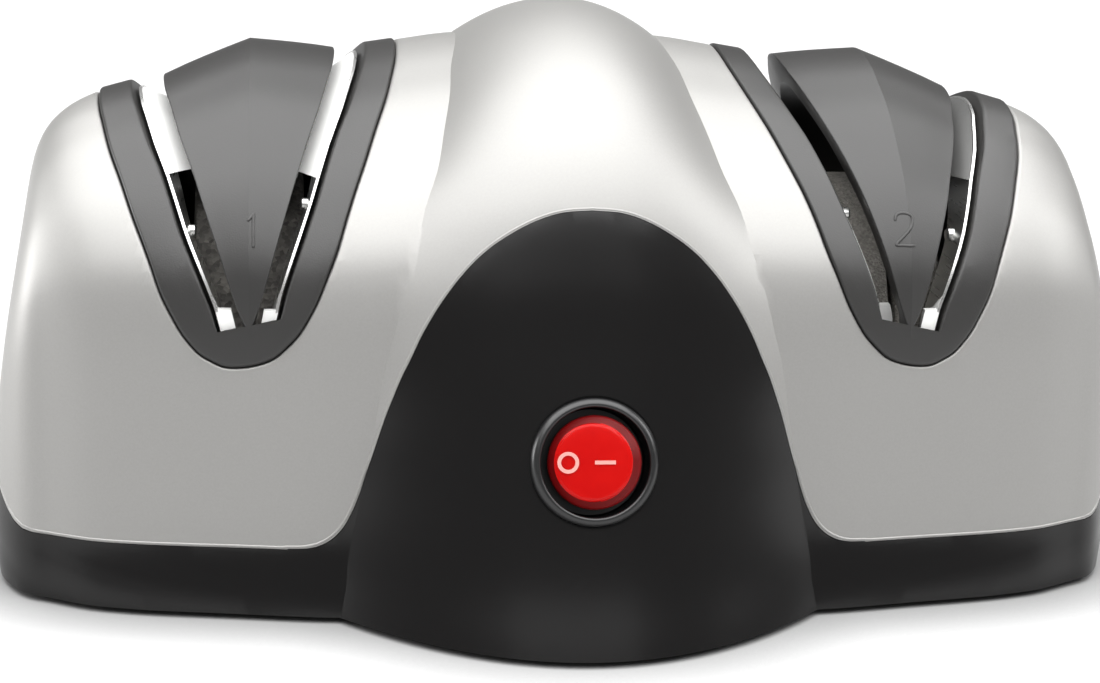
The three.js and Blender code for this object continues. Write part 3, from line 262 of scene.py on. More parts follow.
def colour(name, value, text):
    """A property of one hex value, or of a darker and a lighter one."""
    return StringProperty(name=name, description=text, default=value)


class SharpenerColours(bpy.types.PropertyGroup):
    """Colours of the finishes as sRGB hex values, most of them as a darker and a lighter tone."""

    silver: colour("Silver", "#939290 #9D9C9A", "Silver paint of the shell")
    black: colour("Black", "#080707 #0C0B0B", "Black plastic of the base")
    grey: colour("Grey", "#1A1918 #201F1E", "Grey plastic of the guides")
    ring: colour("Ring", "#0B0B0C #101011", "Plastic of the ring of the switch")
    red: colour("Red", "#A00406 #B60F0A", "Red plastic of the rocker")
    shaded_skirt: colour("Skirt", "#520305 #6A0506", "Side of the rocker, darker red as painted shade")
    # The side of the rocker is the same red plastic as its face; its darker red is painted shade
    # where the side slopes away from the light
    mark: colour("Mark", "#D08A82 #DA968E", "Marks on the rocker")
    steel: colour("Steel", "#D9D9D7", "Polished spring steel")
    fine: colour("Fine", "#6E6B66 #B3AFA8", "Fine bonded abrasive")
    coarse: colour("Coarse", "#4A4845 #A19D96", "Coarse bonded abrasive")
    rubber: colour("Rubber", "#201F1F #2C2B2B", "Rubber of the feet")


def sizes():
    """The sizes that belong to the scene."""
    return bpy.context.scene.sharpener_sizes


def tint(value):
    """The linear colour of a hex value."""
    channels = [int(value[i:i + 2], 16) / 255 for i in (1, 3, 5)]
    linear = [c / 12.92 if c <= 0.04045 else ((c + 0.055) / 1.055) ** 2.4 for c in channels]
    return (*linear, 1.0)


def tones(name):
    """The linear colours of a finish, from the darker to the lighter one."""
    return [tint(value) for value in getattr(bpy.context.scene.sharpener_colours, name).split()]


# Curves and tables


def along(table, place):
    """Smooth value of a table of pairs at a place."""
    if place <= table[0][0]:
        return table[0][1]
    if place >= table[-1][0]:
        return table[-1][1]
    i = bisect.bisect_left(table, (place, -1e9)) - 1

    def slope(k):
        a, b = table[max(k - 1, 0)], table[min(k + 1, len(table) - 1)]
        return (b[1] - a[1]) / (b[0] - a[0])

    (x0, y0), (x1, y1) = table[i], table[i + 1]
    h = x1 - x0
    t = (place - x0) / h
    t2, t3 = t * t, t * t * t
    return (y0 * (2 * t3 - 3 * t2 + 1) + slope(i) * h * (t3 - 2 * t2 + t)
            + y1 * (3 * t2 - 2 * t3) + slope(i + 1) * h * (t3 - t2))


def spline(points, share, power=0.25):
    """Point of a smooth curve through the points. A power of 0 spaces the knots evenly."""
    last = len(points) - 1
    place = last * min(max(share, 0.0), 1.0)
    i = min(int(place), last - 1)
    t = place - i
    p1, p2 = points[i], points[i + 1]
    p0 = points[i - 1] if i > 0 else (p1 if power == 0 else p1 * 2 - p2)
    p3 = points[i + 2] if i + 2 <= last else (p2 if power == 0 else p2 * 2 - p1)
    d0, d1, d2 = ((b - a).length_squared ** power for a, b in ((p0, p1), (p1, p2), (p2, p3)))
    d1 = d1 or 1.0
    d0, d2 = d0 or d1, d2 or d1
    m1 = ((p1 - p0) / d0 - (p2 - p0) / (d0 + d1) + (p2 - p1) / d1) * d1
    m2 = ((p2 - p1) / d1 - (p3 - p1) / (d1 + d2) + (p3 - p2) / d2) * d1
    return (p1 * (2 * t**3 - 3 * t**2 + 1) + m1 * (t**3 - 2 * t**2 + t)
            + p2 * (3 * t**2 - 2 * t**3) + m2 * (t**3 - t**2))


class Outline:
    """Right half of a V outline as dense points (half width, height) from its middle up."""

    def __init__(self, points):
        self.points = points
        self.heights = [p.y for p in points]

    def width(self, z):
        """Half width at a height."""
        z = max(z, self.heights[0])
        i = bisect.bisect_right(self.heights, z)
        if i == len(self.heights):
            return self.points[-1].x
        a, b = self.points[i - 1], self.points[i]
        return a.x + (b.x - a.x) * (z - a.y) / (b.y - a.y)

    def moved(self, distance):
        """The outline moved outwards by a distance, point by point."""
        points, last = [], len(self.points) - 1
        for i, p in enumerate(self.points):
            a, b = self.points[max(i - 1, 0)], self.points[min(i + 1, last)]
            ahead = (b - a).normalized() if i or p.x > 0 else Vector((1, 0))
            points.append(Vector((max(p.x + ahead.y * distance, 0), p.y - ahead.x * distance)))
        return Outline(points)

    def places(self, top, count):
        """Indices of points at about equal lengths of the outline, up to a height."""
        total, lengths = 0.0, []
        for a, b in zip(self.points, self.points[1:]):
            lengths.append(total)
            if a.y > top:
                break
            total += (b - a).length
        return [bisect.bisect_left(lengths, total * i / count) for i in range(count)]


class Form:
    """The outer form: the wings as one loaf, the dome with the nose, and the V outlines."""

    def __init__(self):
        s = sizes()
        self.s = s
        self.half = s.body_length / 2
        corners = [
            Vector((y * (s.wing_front if y < 0 else s.wing_back) - SECTION_SHIFT,
                    z * s.wing_height - SECTION_Z))
            for y, z in WING_PROFILE
        ]
        profile = [spline(corners, i / PROFILE_STEPS, 0) for i in range(PROFILE_STEPS + 1)]
        first, last = profile[0], profile[-1]
        profile += [last.lerp(first, i / 20) for i in range(1, 20)]
        polar = sorted((math.atan2(p.y, p.x), p.length) for p in profile)
        self.angles = [a for a, _ in polar]
        self.radii = [r for _, r in polar]
        self.crease = [
            Vector((w * s.nose_half_width, y * (s.wing_front if y < 0 else s.wing_back),
                    z * s.wing_height)) for w, y, z, _, _ in DOME
        ]
        self.apex = [
            Vector((0, y * (s.nose_reach if y < 0 else s.dome_back), z * s.dome_height))
            for _, _, _, y, z in DOME
        ]
        self.module = s.module_spacing / 2
        self.top = self.wing(self.module, CREST * math.pi).z
        # Heights of the module section over the angle, in front and behind
        self.turns = {}
        for front, (start, end) in ((True, FRONT_TURN), (False, BACK_TURN)):
            angles = [(start + (end - start) * i / TURN_STEPS) * math.pi
                      for i in range(TURN_STEPS + 1)]
            pairs = [(self.wing(self.module, a).z, a) for a in angles]
            self.turns[front] = sorted(pairs)
        self.outlines = {
            "guide": self.outline(GUIDE_OUTLINE, s.guide_bottom, s.guide_half_width),
            "slot": self.outline(SLOT_OUTLINE, s.slot_bottom, s.slot_half_width),
            "wedge": self.outline(WEDGE_OUTLINE, s.slot_bottom, s.wedge_half_width),
        }

    def outline(self, table, bottom, half):
        """A V outline from a table of shares. One that starts in the middle starts level."""
        points = [Vector((w * half, bottom + z * (self.top - bottom))) for z, w in table]
        first = 0
        if points[0].x == 0:
            points.insert(0, Vector((-points[1].x, points[1].y)))
            first = 1 / (len(points) - 1)
        return Outline([spline(points, first + (1 - first) * i / OUTLINE_STEPS)
                        for i in range(OUTLINE_STEPS + 1)])

    def radius(self, angle):
        """Radius of the side profile at an angle."""
        i = bisect.bisect_left(self.angles, angle)
        i = min(max(i, 1), len(self.angles) - 1)
        a0, a1 = self.angles[i - 1], self.angles[i]
        t = min(max((angle - a0) / (a1 - a0), 0.0), 1.0) if a1 > a0 else 0.0
        return self.radii[i - 1] + (self.radii[i] - self.radii[i - 1]) * t

    def middle(self, x, inset=0.0):
        """Depth at which the middle of a wing section lies."""
        return SECTION_SHIFT * along(MIDDLES, min(abs(x) / (self.half - inset), 1)) + SHAFT_Y

    def section(self, share, cos, sin):
        """Reach of the section at a share of the half length, without the rounded ends."""
        height = self.s.wing_height
        deep = along(FRONTS if cos < 0 else BACKS, share)
        tall = along(HEIGHTS, share) * height
        rise = (tall - SECTION_Z) / (height - SECTION_Z) if sin > 0 else 1
        stretched = math.hypot(cos / deep, sin / rise)
        return self.radius(math.atan2(sin / rise, cos / deep)) / stretched

    def wing(self, x, angle, inset=0.0):
        """Point of the wing surface at a place along the length and an angle of the section."""
        share = min(abs(x) / (self.half - inset), 1)
        cos, sin = math.cos(angle), math.sin(angle)
        full = self.section(share, cos, sin)
        low, high = 0.0, full
        for _ in range(22):
            mid = (low + high) / 2
            lean = along(END_LEANS, (SECTION_Z + mid * sin) / self.s.wing_height)
            if (mid / full) ** END_ROUNDNESS + (share / lean) ** END_ROUNDNESS < 1:
                low = mid
            else:
                high = mid
        reach = max(low - inset, 0)
        return Vector((x, self.middle(x, inset) + reach * cos, SECTION_Z + reach * sin))

    def cap(self, angle, keep):
        """Point of a rounded end, at a share of the section where the end starts."""
        cos, sin = math.cos(angle), math.sin(angle)
        x = END_START * self.half
        start = self.wing(x, angle) - Vector((x, self.middle(x), SECTION_Z))
        kept = keep * start.length / self.section(END_START, cos, sin)
        share = END_START
        for _ in range(8):
            reach = kept * self.section(share, cos, sin)
            lean = along(END_LEANS, (SECTION_Z + reach * sin) / self.s.wing_height)
            share = max(lean * (1 - kept ** END_ROUNDNESS) ** (1 / END_ROUNDNESS), END_START)
        x = share * self.half
        return Vector((x, self.middle(x) + reach * cos, SECTION_Z + reach * sin))

    def dome(self, step, column, inset=0.0):
        """Point of the dome at a share of its middle line and a share of its half width."""
        crease, apex = spline(self.crease, step), spline(self.apex, step)
        y = apex.y + (crease.y - apex.y) * column * column - SECTION_SHIFT
        z = apex.z + (crease.z - apex.z) * column * column - SECTION_Z
        keep = 1 - inset / math.hypot(y, z)
        return Vector((column * (crease.x - inset), SECTION_Y + y * keep, SECTION_Z + z * keep))

    def angle_at(self, z, front):
        """Angle at which the module section passes a height."""
        pairs = self.turns[front]
        i = min(max(bisect.bisect_left(pairs, (z, -9.0)), 1), len(pairs) - 1)
        (z0, a0), (z1, a1) = pairs[i - 1], pairs[i]
        t = min(max((z - z0) / (z1 - z0), 0.0), 1.0) if z1 > z0 else 0.0
        return a0 + (a1 - a0) * t

    def slot_widths(self, angle):
        """Half widths over the slots at the outer and at the inner face of the frame."""
        return [self.outlines["slot"].width(self.wing(self.module, angle, inset).z)
                for inset in (-self.s.guide_proud, self.s.guide_depth)]

    def depth_share(self, depth):
        """A depth as a share of the way from the outer to the inner face of the frame."""
        return (depth + self.s.guide_proud) / (self.s.guide_depth + self.s.guide_proud)


# Mesh helpers


def link(name, mesh):
    """A new object of a bmesh, at the origin."""
    data = bpy.data.meshes.new(name)
    mesh.to_mesh(data)
    mesh.free()
    piece = bpy.data.objects.new(name, data)
    bpy.context.scene.collection.objects.link(piece)
    return piece


def bmesh_of(piece):
    """A bmesh with the faces of a piece."""
    mesh = bmesh.new()
    mesh.from_mesh(piece.data)
    return mesh


def weld(mesh, distance):
    """Merges points that lie closer than a distance and drops faces without an area."""
    bmesh.ops.remove_doubles(mesh, verts=mesh.verts, dist=distance)
    bmesh.ops.dissolve_degenerate(mesh, edges=mesh.edges, dist=distance / 10)


def loft(name, rows):
    """A skin over rows of points, each row a loop, with its two ends filled."""
    mesh = bmesh.new()
    count = len(rows[0])
    steps = len(rows) - 1
    bmesh.ops.create_grid(mesh, x_segments=count, y_segments=steps, size=1)
    for v in mesh.verts:
        i = round((v.co.x + 1) / 2 * count)
        j = round((v.co.y + 1) / 2 * steps)
        v.co = rows[j][i % count]
    weld(mesh, 1e-7)
    bmesh.ops.holes_fill(mesh, edges=mesh.edges, sides=0)
    bmesh.ops.recalc_face_normals(mesh, faces=mesh.faces)
    return link(name, mesh)


def block(name, low, high):
    """A block between two corners."""
    mesh = bmesh.new()
    bmesh.ops.create_cube(mesh, size=1)
    for v in mesh.verts:
        v.co = Vector((low[k] + (v.co[k] + 0.5) * (high[k] - low[k]) for k in range(3)))
    return link(name, mesh)


def slab(name, low, high=FAR_HIGH, start=-FAR_X):
    """A block over the whole depth between two heights, from a place along the length on."""
    return block(name, (start, -FAR_Y, low), (FAR_X, FAR_Y, high))


def turned(name, profile, steps, at=None):
    """A turned solid about Z from (radius, height) points, put in place by a matrix."""
    mesh = bmesh.new()
    verts = [mesh.verts.new((r, 0, z)) for r, z in profile]
    edges = [mesh.edges.new(pair) for pair in zip(verts, verts[1:])]
    bmesh.ops.spin(mesh, geom=verts + edges, cent=(0, 0, 0), axis=(0, 0, 1), dvec=(0, 0, 0),
                   angle=2 * math.pi, steps=steps, use_merge=True)
    weld(mesh, 1e-6)
    bmesh.ops.recalc_face_normals(mesh, faces=mesh.faces)
    if at is not None:
        bmesh.ops.transform(mesh, matrix=at, verts=mesh.verts)
    return link(name, mesh)


def bake(piece):
    """Applies all modifiers of a piece."""
    graph = bpy.context.evaluated_depsgraph_get()
    data = bpy.data.meshes.new_from_object(piece.evaluated_get(graph))
    piece.modifiers.clear()
    old, piece.data = piece.data, data
    bpy.data.meshes.remove(old)
    return piece


def carve(piece, other, operation="DIFFERENCE", keep=False):
    """Cuts, joins or crosses a piece with another one, which is then removed."""
    modifier = piece.modifiers.new("carve", "BOOLEAN")
    modifier.operation = operation
    modifier.solver = "MANIFOLD"
    modifier.object = other
    bake(piece)
    if not keep:
        bpy.data.objects.remove(other)
    return piece


def mirrored(piece, name):
    """A copy of a piece, mirrored over the middle of the length."""
    mesh = bmesh_of(piece)
    bmesh.ops.scale(mesh, vec=(-1, 1, 1), verts=mesh.verts)
    bmesh.ops.reverse_faces(mesh, faces=mesh.faces)
    return link(name, mesh)


def smooth(piece, degrees=28):
    """Shades a piece smooth, up to an angle between two faces."""
    piece.data.shade_smooth()
    piece.data.set_sharp_from_angle(angle=math.radians(degrees))
    return piece


def dress(piece, material, body, slot, *nodes):
    """Gives a piece its material, its body and the nodes that it stands for."""
    piece.data.materials.clear()
    piece.data.materials.append(material)
    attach(piece, body)
    if nodes:
        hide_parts(*nodes)
    return piece


# Forms of the housing


def wings(form, inset, stations, ring):
    """The loaf of both wings as one closed skin."""
    angles = [-math.pi + 2 * math.pi * (i + 0.5) / ring for i in range(ring)]
    # More points over the top, where the section turns quickly
    angles = [a + 0.175 * math.sin(2 * a) for a in angles]
    turns = [(2 * i / stations - 1) * math.pi / 2 for i in range(stations + 1)]
    if inset:
        span = form.half - inset
        return loft("wings", [[form.wing(span * math.sin(turn), a, inset) for a in angles]
                              for turn in turns])
    # Both ends are closed by rows that shrink towards the middle of the section
    right = [[form.cap(a, keep) for a in angles] for keep in END_SHRINKS]
    left = [[Vector((-p.x, p.y, p.z)) for p in row] for row in right[::-1]]
    ease = 0.8
    span = END_START * form.half / math.sin(math.pi / 2 * ease)
    middle = [[form.wing(span * math.sin(turn * ease), a) for a in angles] for turn in turns]
    return loft("wings", left + middle + right)


def dome(form, inset, steps, columns):
    """The dome and the nose as one closed skin, which dips into the wings at both sides."""
    past, keep = 1.08, 0.12
    rows = []
    for i in range(steps + 1):
        skin = [form.dome(i / steps, (2 * j / columns - 1) * past, inset)
                for j in range(columns + 1)]
        core = [Vector((p.x, SECTION_Y + (p.y - SECTION_Y) * keep,
                        SECTION_Z + (p.z - SECTION_Z) * keep)) for p in skin]
        rows.append(skin + core[::-1])
    return loft("dome", rows)


def outer_body(form, inset=0.0, share=1.0):
    """Wings, dome and nose as one body, with a share of the usual number of points."""
    s = form.s
    body = wings(form, inset, int(s.stations * share), int(s.ring * share))
    return carve(body, dome(form, inset, int(96 * share), int(64 * share)), "UNION")


def arch_line(form, grow):
    """Right half of the nose arch from its peak down, as points (x, height)."""
    s = form.s
    right = [Vector((x * s.arch_half_width + grow * x, z * s.arch_peak + grow, 0))
             for x, z in ARCH]
    return [spline(right, i / 90) for i in range(91)]


def arch_zone(form, grow):
    """The room of the nose arch, as a prism to the front."""
    s = form.s
    line = arch_line(form, grow)
    line += [Vector((s.arch_half_width, -SPARE, 0)), Vector((0, -SPARE, 0))]
    loop = line[:-1] + [Vector((-p.x, p.y, 0)) for p in line[-2:0:-1]]
    rows = [[Vector((p.x, y, p.y)) for p in loop] for y in (-FAR_Y, SHAFT_Y - s.wing_front / 2)]
    return loft("arch_zone", rows)


def end_line(form, grow):
    """Line of an end arch from the front to the back, as pairs (y, height)."""
    s = form.s
    loop = []
    for i in range(81):
        c = 2 * i / 80 - 1
        rise = (1 - c * c) ** 2 * (s.end_arch_peak - s.band_height)
        loop.append((SHAFT_Y - s.end_arch_shift + c * (s.end_arch_half_width + grow),
                     s.band_height + grow + rise))
    return loop


def end_zone(form, grow):
    """The room of an end arch, as a prism to the side."""
    s = form.s
    loop = end_line(form, grow)
    low = s.band_height - SPARE
    loop += [(loop[-1][0], low), (loop[0][0], low)]
    places = (s.end_arch_inner - grow, FAR_X - 5 * MM)
    rows = [[Vector((x, y, z)) for y, z in loop] for x in places]
    return loft("end_zone", rows)


def base_zone(form, grow):
    """The room of the black base: the band with all its arches."""
    zone = slab("zone", FAR_LOW, form.s.band_height + grow)
    carve(zone, arch_zone(form, grow), "UNION")
    end = end_zone(form, grow)
    other = mirrored(end, "other_end")
    carve(zone, end, "UNION")
    return carve(zone, other, "UNION")


def seam_edge(form, outer):
    """The rounded lower edge of the silver shell, as a thin bead along the whole seam."""
    s = form.s
    tree = BVHTree.FromObject(outer, bpy.context.evaluated_depsgraph_get())
    radius, sink = s.edge_bead, 0.6 * s.edge_bead
    grow = s.seam + radius
    level = s.band_height + grow
    away, sides, count = 0.2, 10, 600

    def hit(start, ahead):
        return tree.ray_cast(Vector(start), Vector(ahead))[0]

    # Half the seam on the surface: arch, band in front, end arch and band behind
    half = [hit((p.x, -away, p.y), (0, 1, 0)) for p in arch_line(form, grow) if p.y > level]
    end = [hit((away, y, z), (-1, 0, 0)) for y, z in end_line(form, grow)]
    first, last = half[-1].x, end[0].x
    half += [hit((first + (last - first) * i / 80, -away, level), (0, 1, 0))
             for i in range(1, 80)]
    half += end
    last = end[-1].x
    half += [hit((last * (1 - i / 120), away, level), (0, -1, 0)) for i in range(1, 121)]
    line = half + [Vector((-p.x, p.y, p.z)) for p in half[-2:0:-1]]
    line.append(line[0])
    # The same line with points at equal distances
    places = [0.0]
    for a, b in zip(line, line[1:]):
        places.append(places[-1] + (b - a).length)
    path = []
    for i in range(count):
        place = places[-1] * i / count
        k = bisect.bisect_right(places, place) - 1
        share = (place - places[k]) / max(places[k + 1] - places[k], 1e-9)
        path.append(line[k].lerp(line[k + 1], share))
    rows = []
    for i, spot in enumerate(path):
        ahead = (path[(i + 1) % count] - path[i - 1]).normalized()
        across = ahead.cross(tree.find_nearest(spot)[1]).normalized()
        normal = across.cross(ahead)
        turns = (2 * math.pi * j / sides for j in range(sides))
        rows.append([spot - normal * sink + across * radius * math.cos(a)
                     + normal * radius * math.sin(a) for a in turns])
    return smooth(loft("seam_edge", rows + rows[:1]), 70)


def vee(form, name, outline, loop, crown=0.0, bottom=None):
    """A solid inside a V outline, from the front bottom over the top to the back bottom.

    The loop is a list of (share of the half width, offset outwards, depth, share of the crown).
    The walls of the frame run square to the surface, those of slots and wedge run front to back.
    """
    s = form.s
    base = form.outlines[outline]
    moved = {offset: base.moved(offset) for _, offset, _, _ in loop}
    places = base.places(s.guide_bottom + RISE[-1] * (form.top - s.guide_bottom), VEE_STEPS)
    start = base.points[0]
    sides = []
    for front in (True, False):
        rows = []
        if bottom is not None:
            rows.append([(start.x + offset, form.angle_at(bottom, front))
                         for _, offset, _, _ in loop])
        for place in places:
            spots = [moved[offset].points[place] for _, offset, _, _ in loop]
            rows.append([(p.x, form.angle_at(p.y, front)) for p in spots])
        sides.append(rows)
    front, back = sides[0], sides[1][::-1]
    crest = []
    for k in range(1, VEE_CREST):
        row = []
        for i, (_, offset, _, _) in enumerate(loop):
            angle = front[-1][i][1] + (back[0][i][1] - front[-1][i][1]) * k / VEE_CREST
            row.append((moved[offset].width(form.wing(form.module, angle).z), angle))
        crest.append(row)
    skins = []
    for row in front + crest + back:
        skin = []
        for (share, offset, depth, rise), (w, angle) in zip(loop, row):
            w0 = w1 = w
            if outline != "guide":
                edge = moved[offset]
                w0 += edge.width(form.wing(form.module, angle, -s.guide_proud).z)
                w0 -= edge.width(form.wing(form.module, angle).z)
                w1 = edge.width(form.wing(form.module, angle, s.guide_depth).z)
            lift = crown * rise * w / s.wedge_half_width
            p0 = form.wing(form.module + share * w0, angle, -s.guide_proud)
            p1 = form.wing(form.module + share * w1, angle, s.guide_depth)
            skin.append(p0.lerp(p1, form.depth_share(depth - lift)))
        skins.append(skin)
    return loft(name, skins)


def strip(form, name, bottom, loop):
    """A strip along the slot outline, from the front bottom over the top to the back bottom.

    The loop is a list of (side, sideways offset, depth).
    """
    s = form.s
    heights = [s.slot_bottom + share * (form.top - s.slot_bottom) for share in RISE]
    heights = [bottom] + [z for z in heights if z > bottom + 0.5 * MM]
    front = [form.angle_at(z, True) for z in heights]
    back = [form.angle_at(z, False) for z in heights][::-1]
    crest = [front[-1] + (back[0] - front[-1]) * k / STRIP_CREST for k in range(1, STRIP_CREST)]
    skins = []
    for angle in front + crest + back:
        high, deep = form.slot_widths(angle)
        row = []
        for side, offset, depth in loop:
            p0 = form.wing(form.module + side * high + offset, angle, -s.guide_proud)
            p1 = form.wing(form.module + side * deep + offset, angle, s.guide_depth)
            row.append(p0.lerp(p1, form.depth_share(depth)))
        skins.append(row)
    return loft(name, skins)


# Materials


def node(tree, kind, links=(), **settings):
    """A node with its settings, and links into its sockets as (socket, from node, output)."""
    made = tree.nodes.new(kind)
    for name, value in settings.items():
        socket = name.replace("_", " ")
        if socket in made.inputs.keys():
            made.inputs[socket].default_value = value
        else:
            setattr(made, name, value)
    for socket, source, output in links:
        tree.links.new(source.outputs[output], made.inputs[socket])
    return made


class Finish:
    """A material with one Principled shader, and the links that the finishes share."""

    def __init__(self, name, **settings):
        self.material = bpy.data.materials.new(name)
        self.material.use_nodes = True
        self.tree = self.material.node_tree
        self.surface = self.tree.nodes["Principled BSDF"]
        for key, value in settings.items():
            self.surface.inputs[key.replace("_", " ")].default_value = value
        self.place = node(self.tree, "ShaderNodeTexCoord")

    def noise(self, scale, detail, **settings):
        """A noise in the coordinates of the object."""
        return node(self.tree, "ShaderNodeTexNoise", [("Vector", self.place, "Object")],
                    Scale=scale, Detail=detail, **settings)

    def mottle(self, name, pattern, output="Fac"):
        """Mixes the base colour of the darker and the lighter tone of a colour."""
        mix = node(self.tree, "ShaderNodeMix", [("Factor", pattern, output)], data_type="RGBA")
        for socket, tone in zip((6, 7), tones(name)):
            mix.inputs[socket].default_value = tone
        self.tree.links.new(mix.outputs[2], self.surface.inputs["Base Color"])

    def gloss(self, pattern, low, high):
        """Lets the roughness follow a pattern."""
        rough = node(self.tree, "ShaderNodeMapRange", [("Value", pattern, "Fac")],
                     To_Min=low, To_Max=high)
        self.tree.links.new(rough.outputs[0], self.surface.inputs["Roughness"])

    def bump(self, pattern, strength, distance, output="Fac"):
        """Lets the surface rise with a pattern."""
        raised = node(self.tree, "ShaderNodeBump", [("Height", pattern, output)],
                      Strength=strength, Distance=distance)
        self.tree.links.new(raised.outputs[0], self.surface.inputs["Normal"])


def painted_silver():
    """Silver lacquer on moulded ABS: satin, with very fine metal flakes under a clear coat."""
    paint = Finish("silver lacquer on ABS", Metallic=0.7, Coat_Weight=0.1, Coat_Roughness=0.3)
    # Flakes of about 0.45 mm, drawn coarser than real ones so that they show
    flakes = paint.noise(2200.0, 2.0, Roughness=0.7)
    paint.mottle("silver", flakes)
    paint.gloss(flakes, 0.46, 0.54)
    paint.bump(flakes, 0.04, 0.05 * MM)
    return paint.material


def moulded(name, colour_name, rough, grain_mm, depth, index=1.5):
    """Moulded plastic or rubber with a fine spark-eroded grain."""
    plastic = Finish(name, IOR=index)
    grain = plastic.noise(1 / (grain_mm * MM), 3.0, Roughness=0.6)
    plastic.mottle(colour_name, grain)
    plastic.gloss(grain, rough - 0.05, rough + 0.07)
    plastic.bump(grain, depth, 0.1 * MM)
    return plastic.material


def spring_steel():
    """Polished spring steel: bright, with fine drawn lines."""
    steel = Finish("polished spring steel", Base_Color=tones("steel")[0], Metallic=1.0)
    drawn = node(steel.tree, "ShaderNodeMapping", [("Vector", steel.place, "Object")],
                 Scale=(1, 0.05, 1))
    lines = node(steel.tree, "ShaderNodeTexNoise", [("Vector", drawn, "Vector")],
                 Scale=1800.0, Detail=2.0)
    steel.gloss(lines, 0.22, 0.36)
    return steel.material


def turned_metal(name, base, rough, metallic=1.0):
    """Turned, electroplated or cast metal with small changes of gloss."""
    metal = Finish(name, Base_Color=tint(base), Metallic=metallic)
    metal.gloss(metal.noise(900.0, 3.0), rough - 0.06, rough + 0.1)
    return metal.material


def bonded_grit(name, colour_name, grit_mm):
    """Bonded abrasive: matt grains of mixed greys with small pits."""
    grit = Finish(name, Roughness=0.85)
    scale = 1 / (grit_mm * MM)
    grains = node(grit.tree, "ShaderNodeTexVoronoi", [("Vector", grit.place, "Object")],
                  Scale=scale)
    mixed = node(grit.tree, "ShaderNodeMath",
                 [(0, grains, "Color"), (1, grit.noise(scale / 4, 4.0), "Fac")],
                 operation="MULTIPLY")
    grit.mottle(colour_name, mixed, "Value")
    grit.bump(grains, 0.7, 0.3 * MM, "Distance")
    return grit.material


def red_plastic(name, colour_name, rough):
    """Clear red plastic: glossy, letting light in below the surface."""
    plastic = Finish(name, Roughness=rough, Subsurface_Weight=0.35, Subsurface_Scale=0.004,
                     Subsurface_Radius=(1.0, 0.18, 0.1), IOR=1.25)
    plastic.mottle(colour_name, plastic.noise(180.0, 2.0))
    return plastic.material


MATERIALS = {}


def finish(name):
    """The finishes, made once."""
    if not MATERIALS:
        MATERIALS.update({
            "silver": painted_silver(),
            "black": moulded("satin black ABS", "black", 0.22, 0.35, 0.1, 1.42),
            "grey": moulded("matt grey ABS", "grey", 0.42, 0.3, 0.25, 1.6),
            "ring": moulded("satin grey nylon", "ring", 0.3, 0.4, 0.1, 1.6),
            "mark": moulded("printed mark", "mark", 0.4, 0.4, 0.05),
            "rubber": moulded("moulded rubber", "rubber", 0.75, 0.5, 0.4),
            "steel": spring_steel(),
            # A near-white copy of the metal for the tabs and most leaves: painted highlight where
            # the steel catches the lamps
            "plated": turned_metal("satin nickel plate", "#F4F4F2", 0.42, 0.35),
            # A dark copy of the nickel finish for the outer leaf of the fine module: painted shade
            "dull": turned_metal("dull nickel plate", "#565655", 0.42, 0.35),
            "fine": bonded_grit("fine bonded abrasive", "fine", 0.45),
            "coarse": bonded_grit("coarse bonded abrasive", "coarse", 0.8),
            "turned": turned_metal("turned steel", "#9C9C9B", 0.3),
            "cast": turned_metal("die cast aluminium", "#A3A5A8", 0.45),
            "bronze": turned_metal("sintered bronze", "#A9843F", 0.4),
            "iron": turned_metal("laminated iron", "#57585C", 0.5, 0.8),
            "copper": turned_metal("enamelled copper", "#A5602E", 0.35, 0.7),
            "brass": turned_metal("plated brass", "#B9A061", 0.32),
            "red": red_plastic("clear red polycarbonate", "red", 0.22),
            # A darker copy of the red plastic for the side of the rocker: painted shade
            "shaded_skirt": red_plastic("deep red polycarbonate", "shaded_skirt", 0.42),
        })
    return MATERIALS[name]


# Parts of the pieces


def around(edge, places=ACROSS, rise=0):
    """The loop of a section with the same edge on both sides and places across its top."""
    loop = [(-1, offset, depth, 0) for offset, depth in edge]
    loop += [(share, *edge[-1], rise * (1 - abs(share))) for share in places]
    return loop + [(1, offset, depth, 0) for offset, depth in edge[::-1]]


def hole(radius, low, high, at, steps=48):
    """A round cutter between two heights."""
    return turned("hole", [(0, low), (radius, low), (radius, high), (0, high)], steps, at)


def scaled(profile, radius, top):
    """A profile in mm, made as wide as a radius and put under a height."""
    share = radius / max(r for r, _ in profile)
    return [(r * share, top + z * MM) for r, z in profile]


def switch_place(form):
    """Matrix of the switch on the nose: X across, Y up the panel, Z outwards."""
    low, high = 0.0, 0.5
    for _ in range(40):
        mid = (low + high) / 2
        if spline(form.apex, mid).z < form.s.switch_height:
            low = mid
        else:
            high = mid
    place = spline(form.apex, low)
    tangent = (spline(form.apex, low + 1e-4) - place).normalized()
    matrix = Matrix.Identity(4)
    matrix.col[0][:3] = (1, 0, 0)
    matrix.col[1][:3] = (0, tangent.y, tangent.z)
    matrix.col[2][:3] = (0, -tangent.z, tangent.y)
    matrix.translation = place + Vector((0, SHAFT_Y, 0))
    return matrix


def foot_places():
    """Name, lowest and highest corner and matrix of each foot."""
    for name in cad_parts:
        if name.startswith("foot_"):
            low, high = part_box(name)
            middle = ((low.x + high.x) / 2, (low.y + high.y) / 2, 0)
            yield name, low, high, Matrix.Translation(middle)


def inlet_place():
    """Lowest and highest corner and matrix of the cord inlet, with Z to the back."""
    low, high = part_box("cord_inlet")
    turn = Matrix.Rotation(-math.pi / 2, 4, "X")
    return low, high, Matrix.Translation((0, 0, (low.z + high.z) / 2)) @ turn


